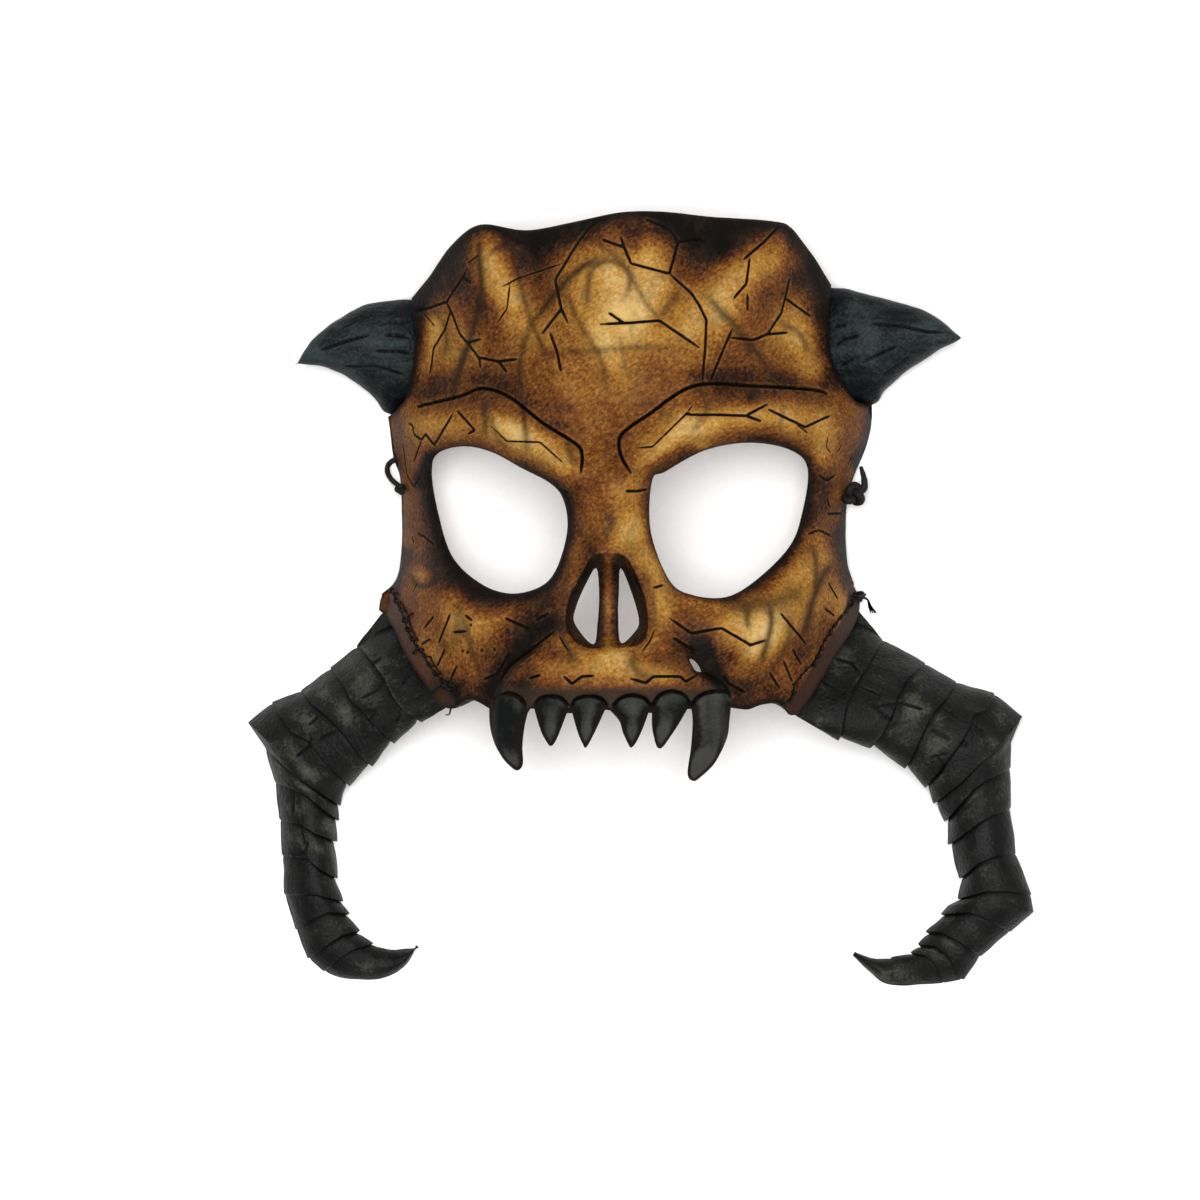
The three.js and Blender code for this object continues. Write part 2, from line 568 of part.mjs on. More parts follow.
function seam(line) {
  const lift = THREAD_DIAMETER / 2 + FIT_GAP + 0.2;
  const path = smooth(line).map(([x, y]) => under(x, y, -lift));
  return tube(path, THREAD_DIAMETER, 6, path.length);
}

// A stopper knot outside the rim: a few turns of cord drawn up into a lump.
function knot(lobes) {
  const bodies = lobes.map(([x, y, radius]) => {
    const centre = under(x, y, -(radius + KNOT_CLEARANCE));
    return solid(new THREE.SphereGeometry(radius, 8, 6).translate(...centre.toArray()));
  });
  return geometryOf(bodies.reduce((whole, lobe) => whole.add(lobe)));
}

function cord() {
  const inHole = ([x, y]) => [0.5, 2.4, 4.2].map((depth) => under(x, y, depth));
  const path = [
    ...inHole(LEFT_HOLE),
    ...CORD_ROUTE.map((p) => place(...p)),
    ...inHole(RIGHT_HOLE).reverse(),
  ];
  return tube(path, CORD_DIAMETER, 8, CORD_STEPS);
}

const group = new THREE.Group();

function add(name, geometry, material) {
  const mesh = new THREE.Mesh(geometry, material);
  mesh.name = name;
  group.add(mesh);
}

add("face", face(), tanned);
add("horn_left", horn([...LEFT_HORN_SEAT].reverse(), [1, 0], LEFT_HORN, LEFT_HORN_TIP, 1), black);
add("horn_right", horn(RIGHT_HORN_SEAT, [-1, 0], RIGHT_HORN, RIGHT_HORN_TIP, 1), black);
add("tusk_left", tusk([...LEFT_STRIP].reverse(), [0.85, 0.53], LEFT_RIDGES, LEFT_TUSK_TIP, 1), black);
add("tusk_right", tusk(RIGHT_STRIP, [-0.86, 0.51], RIGHT_RIDGES, RIGHT_TUSK_TIP, 1), black);
add("seam_thread_left", seam(LEFT_SEAM), waxed);
add("seam_thread_right", seam(RIGHT_SEAM), waxed);
add("tie_knot_left", knot(LEFT_KNOT), waxed);
add("tie_knot_right", knot(RIGHT_KNOT), waxed);
add("head_cord", cord(), waxed);

export default group;
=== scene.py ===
"""A moulded leather skull mask with two small horns and two ridged tusks, lying on its back.

Lengths are in millimetres up to the point where a mesh is made, which is in metres. Lines are drawn as
they are seen from the front, with x from the middle of the nose and y from the nostrils. Heights are
measured up from the table.
"""
import math
import random

import bpy
import numpy as np
from bpy.props import FloatProperty, FloatVectorProperty, IntProperty, PointerProperty
from bpy.types import Operator, Panel, PropertyGroup
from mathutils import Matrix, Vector, geometry, kdtree, noise


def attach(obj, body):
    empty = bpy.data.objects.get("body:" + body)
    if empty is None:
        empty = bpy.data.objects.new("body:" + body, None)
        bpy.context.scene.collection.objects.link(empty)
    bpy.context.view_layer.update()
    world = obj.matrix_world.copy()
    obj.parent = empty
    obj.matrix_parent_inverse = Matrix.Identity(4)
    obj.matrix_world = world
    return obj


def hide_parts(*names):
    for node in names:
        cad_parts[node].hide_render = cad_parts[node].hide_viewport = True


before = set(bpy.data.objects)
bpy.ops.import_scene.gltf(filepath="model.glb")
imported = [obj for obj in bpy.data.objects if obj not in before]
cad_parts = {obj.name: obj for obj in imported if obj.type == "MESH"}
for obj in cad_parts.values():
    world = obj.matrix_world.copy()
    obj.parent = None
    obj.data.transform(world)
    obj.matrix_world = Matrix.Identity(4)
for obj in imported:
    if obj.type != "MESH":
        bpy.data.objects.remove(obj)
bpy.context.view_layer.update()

bl_info = {
    "name": "Leather skull mask",
    "version": (1, 0, 0),
    "blender": (4, 5, 0),
    "location": "3D View > Sidebar > Mask",
    "description": "Builds a moulded leather skull mask with horns, ridged tusks, seams and a head cord",
    "category": "Object",
}

MM = 0.001

# The drawing is seen six degrees off the vertical, and the part's frame has its own middle
SIGHT_TILT = math.radians(6)
CENTRE_X = 9.713
CENTRE_Y = 0.547

# The dome of the face: its height at the middle, and how far below the table it would close
DOME_TOP = 52
DOME_FOOT = -17
CROWN_START = 30
CROWN_END = 112
CROWN_DROP = 13
TEETH_START = -30
TEETH_END = -52
TEETH_DROP = 5

# Half width of the dome at each height up the face, as (y, half width), and how softly it changes
LEFT_WIDTH = [(-60, 70), (-30, 70), (-3, 67.2), (12, 61.6), (30, 61.3), (50, 64.6), (64, 66), (125, 66)]
RIGHT_WIDTH = [(-60, 80), (-30, 80), (-3, 77), (12, 72.6), (28, 72.6), (52, 80), (70, 77), (125, 75)]
WIDTH_BLUR = 4

# Outline of the face, clockwise from the top of the left horn's seat
CROWN = [
    (-56.6, 87.7), (-51.3, 94), (-46.4, 101.1), (-41.5, 106), (-38, 108.2), (-33.8, 108.7), (-23.2, 107),
    (-11.3, 108.8), (4.1, 111.9), (15.8, 112.2), (29.9, 110.9), (48.9, 109.5), (53.4, 107.9), (57, 103.8),
    (60.5, 99.1), (65.4, 91.4),
]
RIGHT_HORN_SEAT = [(65.4, 91.4), (64.4, 80), (65.4, 70.2), (68.6, 63.1), (72.8, 57.6), (78.1, 57.1)]
RIGHT_RIM = [(78.1, 57.1), (76, 44.9), (72.5, 37.1), (70, 28.3), (69.9, 13.1), (71.6, 5.8), (74.8, 1)]
RIGHT_STRIP = [(74.8, 1), (72.7, -7.2), (67.1, -16.1), (59.9, -27.5), (56, -32.8)]
RIGHT_CHEEK = [(56, -32.8), (53.2, -33.2), (50.2, -30), (44.7, -30.3), (40.9, -31.6), (36, -31)]
LEFT_CHEEK = [(-33.8, -31.3), (-39.2, -28.8), (-44.4, -31.4), (-48.4, -30.7)]
LEFT_STRIP = [(-48.4, -30.7), (-58.1, -17), (-61.8, -9), (-66, -2.8)]
LEFT_RIM = [
    (-66, -2.8), (-64.9, 1.4), (-61.3, 5.8), (-59.9, 11.6), (-59.4, 22), (-59.9, 34.8), (-61.8, 42),
    (-63.3, 53.4),
]
LEFT_HORN_SEAT = [(-63.3, 53.4), (-60, 56.4), (-57.7, 60.3), (-55.5, 73.7), (-56.6, 87.7)]
# Where the lower end of each horn's seat lies, under the face's rim
LEFT_HORN_CORNER = (-62.2, 52.2)
RIGHT_HORN_CORNER = (77.2, 55.5)

# Each tooth from its foot on the left, round its tip, to its foot on the right
TEETH = [
    [(-33.8, -31.3), (-33.6, -36), (-32.6, -40.3), (-31.1, -43.6), (-28.9, -46.8), (-25.8, -49.2),
        (-24, -47.4), (-24.1, -42), (-23.4, -36), (-22.2, -31.3)],
    [(-20.7, -31.3), (-18.8, -37.7), (-17.1, -40.9), (-15.9, -42.2), (-14.5, -40.6), (-13, -37.1),
        (-11.3, -32.6)],
    [(-9.7, -32.6), (-8.1, -38.3), (-6.7, -41.5), (-5.8, -42.6), (-3.5, -38.6), (-0.3, -31.6)],
    [(1.2, -31.8), (3.8, -34.8), (4.9, -38.3), (6.4, -41.5), (7.2, -42.6), (8.7, -40.9),
        (10.4, -37.4), (12.2, -32.5)],
    [(13.2, -32.5), (13.3, -37.1), (14.5, -42), (15.7, -42.8), (16.8, -41.8), (19.1, -38.5),
        (21.1, -35.4), (23.4, -31.4)],
    [(24.7, -31.4), (24.9, -36), (24.4, -42.9), (23.5, -50.2), (25.2, -52.2), (27.3, -51),
        (30.7, -47.8), (33.3, -43.5), (35.1, -39.1), (35.6, -34.8), (36, -31)],
]

# Openings in the face
LEFT_EYE = [
    (-50.6, 37.4), (-48.6, 42.7), (-41, 44.5), (-32.9, 42.7), (-24.6, 38.2), (-15.9, 33.5), (-12.2, 28.6),
    (-11.2, 20), (-14.3, 9.1), (-19.1, 3.8), (-27.8, 1.9), (-36.6, 5), (-44.7, 12.9), (-48.9, 26.1),
]
RIGHT_EYE = [
    (13.3, 34.4), (17.1, 37), (28.4, 43.1), (41, 45.4), (53, 43.5), (58.4, 38), (56.7, 24.8), (53, 15.4),
    (43.5, 5.9), (34.7, 0.9), (24.8, 1.5), (18.3, 5.7), (12.9, 19.8),
]
LEFT_NOSTRIL = [(-2.8, 9.2), (-2, 1.9), (-2.4, -6), (-3.7, -12.8), (-9, -6.8), (-8.6, -1.9), (-5.6, 5)]
RIGHT_NOSTRIL = [(4.2, 9.2), (7.3, 2.3), (9.5, -5.9), (8, -9.5), (4.2, -12.3), (3.5, -4), (3.7, 1.9)]
FOLD_GAP = [(24, -17), (25.9, -17.9), (27.4, -20.6), (25.6, -20.2)]

# The sunken floor round the nostrils, and the folds where the upper jaw stands proud of the cheeks
NOSE_FLOOR = [
    (-3.6, 13), (-7.2, 7), (-10.4, 1.7), (-11.9, -4.6), (-11.4, -8.7), (-8.8, -12.3), (-4.1, -14),
    (4.1, -13.8), (9.9, -12.8), (12.2, -8), (11.3, 0.6), (8.7, 7), (5.2, 13),
]
NOSE_FLOOR_DEPTH = 4
LEFT_FOLD = [(-60, -34.5), (-30, -33.6), (-24.6, -31.6), (-18.8, -27.8), (-14.5, -22), (-8.7, -14.5)]
RIGHT_FOLD = [(-60, 36), (-27.8, 35.5), (-23, 32), (-21, 28), (-15, 24.5), (-10.9, 17.5)]
FOLD_STEP = 5
FOLD_WIDTH = 3
FOLD_FADE = (-20, -9)
EYE_ROLL_DEPTH = 3.2
EYE_ROLL_WIDTH = 6

# Rolls and hollows of the moulding: a height, how far it spreads, and a path across the face
MOULDING = [
    (4.6, 6, [(-57, 50), (-33, 51.5), (-24, 46.5), (-11, 36)]),
    (4.6, 6, [(72, 50), (48, 53), (32, 51.5), (20, 48), (8, 35)]),
    (6, 11, [(-36, 103), (-36, 84)]),
    (6, 12, [(45, 104), (39, 86)]),
    (4, 15, [(2, 108), (0, 78)]),
    (-3.4, 7, [(-23, 108), (-21, 84)]),
    (-3.4, 7, [(31, 111), (27, 84)]),
    (-3, 8, [(-52, 66), (-33, 68)]),
    (-3, 8, [(62, 70), (36, 70)]),
    (-3, 7, [(-1.5, 60), (-1.5, 45)]),
    (5, 7, [(-1, 38), (1, 26), (0.6, 14)]),
    (3.4, 5, [(-6, 12), (-13.5, -1), (-14, -10)]),
    (3.4, 5, [(8, 12), (14, -1), (14.5, -10)]),
    (5.5, 9, [(-52, 5), (-43, -5), (-31, -9)]),
    (5.5, 9, [(64, 8), (52, -6), (36, -9)]),
    (3.6, 15, [(-12, -22), (13, -22)]),
]

# Lines of the two seams
LEFT_STITCHES = [
    (-62.3, 3.3), (-60.3, -0.9), (-59.2, -3.6), (-58.1, -5.8), (-57.2, -9.2), (-55.6, -11.7),
    (-54.2, -13.9), (-51.7, -17.2), (-49.4, -20.9), (-47.8, -22.8), (-45.3, -24.7), (-43.6, -28.3),
]
RIGHT_STITCHES = [
    (73.8, 0.9), (71, -1.7), (68.1, -4.8), (65.5, -8.1), (62.9, -12.5), (59.9, -18.3), (57.1, -21.1),
    (54.6, -24.4), (53.2, -28.6), (50.8, -30.6),
]

LONG_STITCHES = [
    ((-57.6, -4.9), (-55.8, -3.8)),
    ((-53.3, -12.9), (-50.8, -11.4)),
    ((-56.1, -15.5), (-54.4, -14.3)),
    ((-50.6, -26.8), (-47.8, -24.9)),
]

# Tooled lines over each brow
BROW_LINES = [
    [(-55.7, 56), (-42.9, 58.9), (-36, 61.2), (-28.1, 58.6), (-18.3, 51), (-8.7, 44.9), (-7, 41.5),
        (-7.4, 36.5)],
    [(64.4, 59.7), (60, 60.9), (43.2, 61.8), (25.5, 61.8), (12.2, 53.4), (6.1, 49.3), (3.8, 46.4),
        (4.3, 41.5), (7.2, 36.5)],
]

# Carved cracks of the face, as lines seen from the front
CRACKS = [
    [(-2.9, 110.2), (-7.8, 103.8), (-14.8, 92.5), (-13, 84.1), (-11, 79.8)],
    [(-13, 84.1), (-18.6, 76.8)],
    [(-16.2, 77.1), (-14.2, 71.6), (-13, 65.8)],
    [(-55.5, 83.5), (-46.4, 86.4), (-41.5, 93.4), (-40.3, 95.7)],
    [(-41.5, 93.4), (-39, 91.6)],
    [(-46.4, 86.4), (-44.4, 82.1), (-42.6, 77.1), (-40.3, 74.5), (-36.2, 75.4)],
    [(-40.3, 74.5), (-36.8, 69.9), (-36.5, 67)],
    [(-37.1, 70.2), (-31.3, 69), (-25.7, 69.6)],
    [(-31.3, 69), (-28.7, 65.8)],
    [(-45.2, 83.5), (-47, 78), (-50.2, 73.1), (-50.8, 68.7), (-51.3, 65.5)],
    [(-1.2, 104.1), (5.2, 101.8)],
    [(4.3, 104.7), (5.5, 101.2), (7.2, 97.1), (18.3, 94.2), (20.9, 103.5), (18.6, 107.3), (17.7, 109)],
    [(18.6, 107.3), (11.6, 109.9)],
    [(20.9, 103.5), (28.4, 104.4)],
    [(18.3, 94.2), (24.6, 88.7), (27, 85), (29, 80.9), (28.7, 73.1), (27.8, 63.2)],
    [(-1.7, 79.5), (5.2, 79.8), (15.4, 80.6), (27, 72.8)],
    [(0.7, 82.9), (5.2, 79.8)],
    [(49.9, 107.9), (46.1, 103.8), (39.7, 98.3)],
    [(41.6, 98.9), (40.6, 91.3), (36.8, 87)],
    [(40.9, 88.4), (40.9, 83.5)],
    [(53.2, 93.4), (51.9, 87.3), (50.8, 82.9), (46.7, 76.8), (42.6, 75.1), (36, 75.7)],
    [(46.7, 76.8), (52.8, 77.4)],
    [(51.9, 87.3), (59.4, 82.1)],
    [(36.5, 78.3), (35.4, 75.7), (30.2, 63.5)],
    [(-58, 51.6), (-56.3, 50.8), (-56, 48.1), (-53.6, 46.4), (-52.5, 48.1), (-49.9, 44.9),
        (-44.4, 53.9)],
    [(-53.6, 46.4), (-56, 40.3)],
    [(-43.2, 54.8), (-38, 49), (-40, 48.1)],
    [(-59.2, 45.5), (-58, 36.2), (-56.1, 32.8), (-53.9, 36.2)],
    [(22.9, 53.4), (31.9, 53.4), (40.3, 53.1), (46.7, 56.5)],
    [(40.3, 53.1), (44.7, 51.6)],
    [(46.7, 55.1), (52.8, 52.2), (57.7, 49.9), (65, 53.4)],
    [(61.8, 36.2), (64, 34.5), (66.7, 36.2)],
    [(5.5, 31.3), (9, 31.3), (11.9, 31.9)],
    [(-13.9, 32.2), (-10.7, 30.7)],
    [(13.6, 3.5), (16.5, 4.3)],
    [(64.1, 29.6), (65.2, 26.7)],
    [(64.1, 24.9), (68.4, 25.2)],
    [(58.6, 19.1), (61.8, 20.3), (65.5, 18.6)],
    [(64.4, 5.2), (67.3, 0.3)],
    [(50.5, -3.8), (58, -12.8)],
    [(18.3, -5.2), (24.6, -9.6), (33.3, -8.1), (41.8, -13), (46.1, -11.6)],
    [(19.7, -11), (25.8, -14.8)],
    [(51.3, -17.4), (53.9, -23.5)],
    [(53.9, -14.2), (56.5, -18.6)],
    [(47.3, -20.9), (50.2, -25.5)],
    [(63.2, -2.3), (66.4, -4.6)],
    [(-55.1, 19.4), (-52.8, 18.3), (-49.9, 15.9)],
    [(-56.5, 18.6), (-56, 16.5)],
    [(-45.1, -3.8), (-48.6, -12.5)],
    [(-49.9, -4.6), (-52.8, -8.1)],
    [(-46.7, -14.2), (-49, -19.1)],
    [(-43.2, -18.8), (-45.2, -23.2)],
    [(-40.9, -4.3), (-38.6, -6.1)],
    [(-44.4, -9.3), (-40.3, -9)],
    [(-20.3, -5.8), (-16.5, -3.8)],
    [(-29.3, -5.2), (-22, -8.4)],
    [(-35.4, -22.9), (-31.3, -21.2), (-27.8, -14.8)],
    [(-22.3, -22.6), (-18.8, -21.5)],
    [(-12.2, -22), (-9.9, -24.1), (-7, -22), (-3.5, -21.8)],
    [(7, -22.6), (11.5, -23.9), (13.6, -22), (21.5, -22), (22.9, -23.5), (26.4, -21.5)],
    [(19.3, -10.9), (26, -15)],
    [(28, -21), (30.7, -22), (33.1, -23.7), (34.8, -25.3), (35.5, -27.8)],
    [(33.9, -21.7), (35.3, -24), (40.3, -26.7)],
    [(-14.5, -8.7), (-22, -14.5), (-27.8, -18.8), (-31.6, -24.6)],
]

# Thinner cracks that only just break the skin
FINE_CRACKS = [
    [(-30.2, 90.5), (-24.6, 93.4), (-12.8, 97.1)],
    [(-27.8, 91.3), (-28.7, 84.1), (-31.6, 79.8)],
    [(-33.3, 50.2), (-28.7, 45.8), (-19.1, 45.5), (-11.9, 39.1)],
    [(8.4, 43.8), (13.3, 44.1), (22.9, 53.4), (25.2, 56.5)],
    [(-53.2, 83.4), (-49.6, 79.2)],
    [(-40.2, 97.4), (-36.9, 99.8)],
    [(-13.6, -10.2), (-12.4, -12.4), (-10.7, -15)],
    [(14, -8.5), (12.6, -11.9), (10.4, -14.8)],
    [(64.3, 47.3), (63.9, 44.2), (65.3, 42.4)],
    [(68.6, 45.4), (67, 42.6)],
    [(71.5, 42.3), (70.2, 38.7)],
    [(55, 50.8), (58.5, 48.1)],
    [(-56.3, 2.2), (-54.6, 5.2)],
    RIGHT_STITCHES,
]

# Lighter scratches rubbed back through the dye
SCRATCHES = [
    [(-29.3, -5.2), (-26.4, -0.9)],
    [(-38.6, -6.1), (-34.2, -6.4), (-29.3, -5.2)],
]

DOTS = [(-41.5, -14.8), (-40, -15.1), (-36, -14.5), (-32.2, -14.2), (-39.1, -7.2), (41.2, -13)]

# Airbrushed black strokes: spread in mm, strength, line
SMOKE = [
    (1.3, 0.6, [(-36, 108.2), (-36.8, 99.8), (-36, 91.3), (-36.8, 84.1), (-39.4, 75.1), (-41.5, 69),
        (-43.9, 63.1)]),
    (1.1, 0.45, [(-36, 97.4), (-31.6, 101.8), (-28.1, 102.4), (-26.1, 96.9), (-24.4, 89.9),
        (-21.5, 80), (-18.5, 73.5), (-16, 66.5)]),
    (1.5, 0.6, [(-20.9, 80), (-14.8, 88.4), (-7.8, 95.4), (-0.6, 98.9)]),
    (1.2, 0.5, [(-21.5, 80), (-23.8, 73.7), (-24.9, 66.7), (-24.4, 59.7), (-23.2, 49), (-22.6, 42.6)]),
    (1.3, 0.35, [(-19.7, 70.8), (4.1, 72.5), (19.4, 73.1)]),
    (1.2, 0.4, [(-11.9, 89.9), (-7.8, 80), (-2, 70.2), (0.6, 59.7)]),
    (1.5, 0.45, [(-40.9, 73.7), (-42.9, 65.8), (-44.9, 57.4)]),
    (1.2, 0.4, [(-50.8, 85), (-46.4, 78.6), (-46.7, 70.2)]),
    (1.1, 0.5, [(-5.4, 84.5), (-5.3, 89.3), (-4.1, 95.1), (1.2, 97.9), (6.1, 94.8), (6.7, 89.9),
        (4.6, 86.6)]),
    (1.1, 0.4, [(-5.2, 104.5), (1.4, 100.3), (6.8, 95), (10, 88), (16.1, 79.6)]),
    (0.9, 0.25, [(4.2, 76.3), (4.7, 70.4), (6.8, 64.6)]),
    (1.6, 0.5, [(28.4, 88.4), (36.2, 80), (43.2, 71.6), (48.7, 64.7)]),
    (1.6, 0.4, [(15.1, 81.5), (20.9, 88.4)]),
    (1.3, 0.45, [(50.2, 80), (56, 77.1), (58.6, 71.6)]),
    (1.3, 0.5, [(-35.1, 57.4), (-34.8, 47.6)]),
    (1.1, 0.4, [(-33.6, 53.4), (-31.2, 46.4), (-28.3, 43.4)]),
    (1.2, 0.35, [(25.6, 62), (29.1, 55.5), (24.9, 48.6)]),
    (1.2, 0.3, [(51.5, 56.9), (50.2, 49.6)]),
    (1.6, 0.8, [(66.1, 11.3), (62.9, 7.2), (59.4, -1.2), (57.7, -8.4), (55.4, -11.6)]),
    (1.3, 0.5, [(59.4, 15.7), (60.9, 10.4), (60.3, 2.9)]),
    (1.3, 0.6, [(47, -1.2), (47.7, -6.1), (46.4, -12.5), (44.4, -18.6)]),
    (1.2, 0.4, [(52.2, -3), (53.2, -9.8), (49.3, -18.1), (44.7, -24.2)]),
    (1.5, 0.5, [(40.6, -1.7), (40.9, -8.1)]),
    (1.1, 0.6, [(-53.1, 10.7), (-50.2, 9.2), (-49.5, 6.4), (-51.6, 4.1), (-55.1, 4.6), (-57, 8)]),
    (3.2, 0.45, [(35.4, -2), (44.7, -1.2), (52.2, 0.3), (56.3, 4.3)]),
    (2.2, 0.4, [(8.7, -16.2), (7.6, -18.4), (9.6, -21.2), (13.5, -22.3)]),
    (2.2, 0.5, [(0, 24.6), (1.7, 22), (-0.6, 19.1)]),
    (1.8, 0.35, [(-8.3, 21.3), (-5.2, 16.4), (-3.8, 12.8)]),
    (1.5, 0.5, [(-14.2, -1.2), (-13.3, -8.7), (-11, -13.9), (-9, -18.6)]),
    (1.3, 0.4, [(10.1, 10.1), (13.3, 0), (14.2, -9.3)]),
    (0.8, 0.65, [(-3.5, 13.2), (-2.8, 8.6)]),
    (0.8, 0.65, [(3.8, 13.2), (4.3, 8.6)]),
    (1.1, 0.5, [(-1.4, 0), (-1.6, -6), (-2.7, -12)]),
    (0.9, 0.4, [(-10.4, 8.6), (-12.4, 2.6), (-12.8, -3.5)]),
    (2.5, 0.3, [(-47, -11.6), (-46.4, -15.9)]),
    (2.4, 0.35, [(-42.9, 0), (-41.8, -11.6)]),
    (1.3, 0.4, [(-40.6, -5.2), (-38.8, -14.6), (-35.7, -22.6)]),
    (1.4, 0.45, [(-11.3, 46.4), (-9.6, 39.1)]),
]

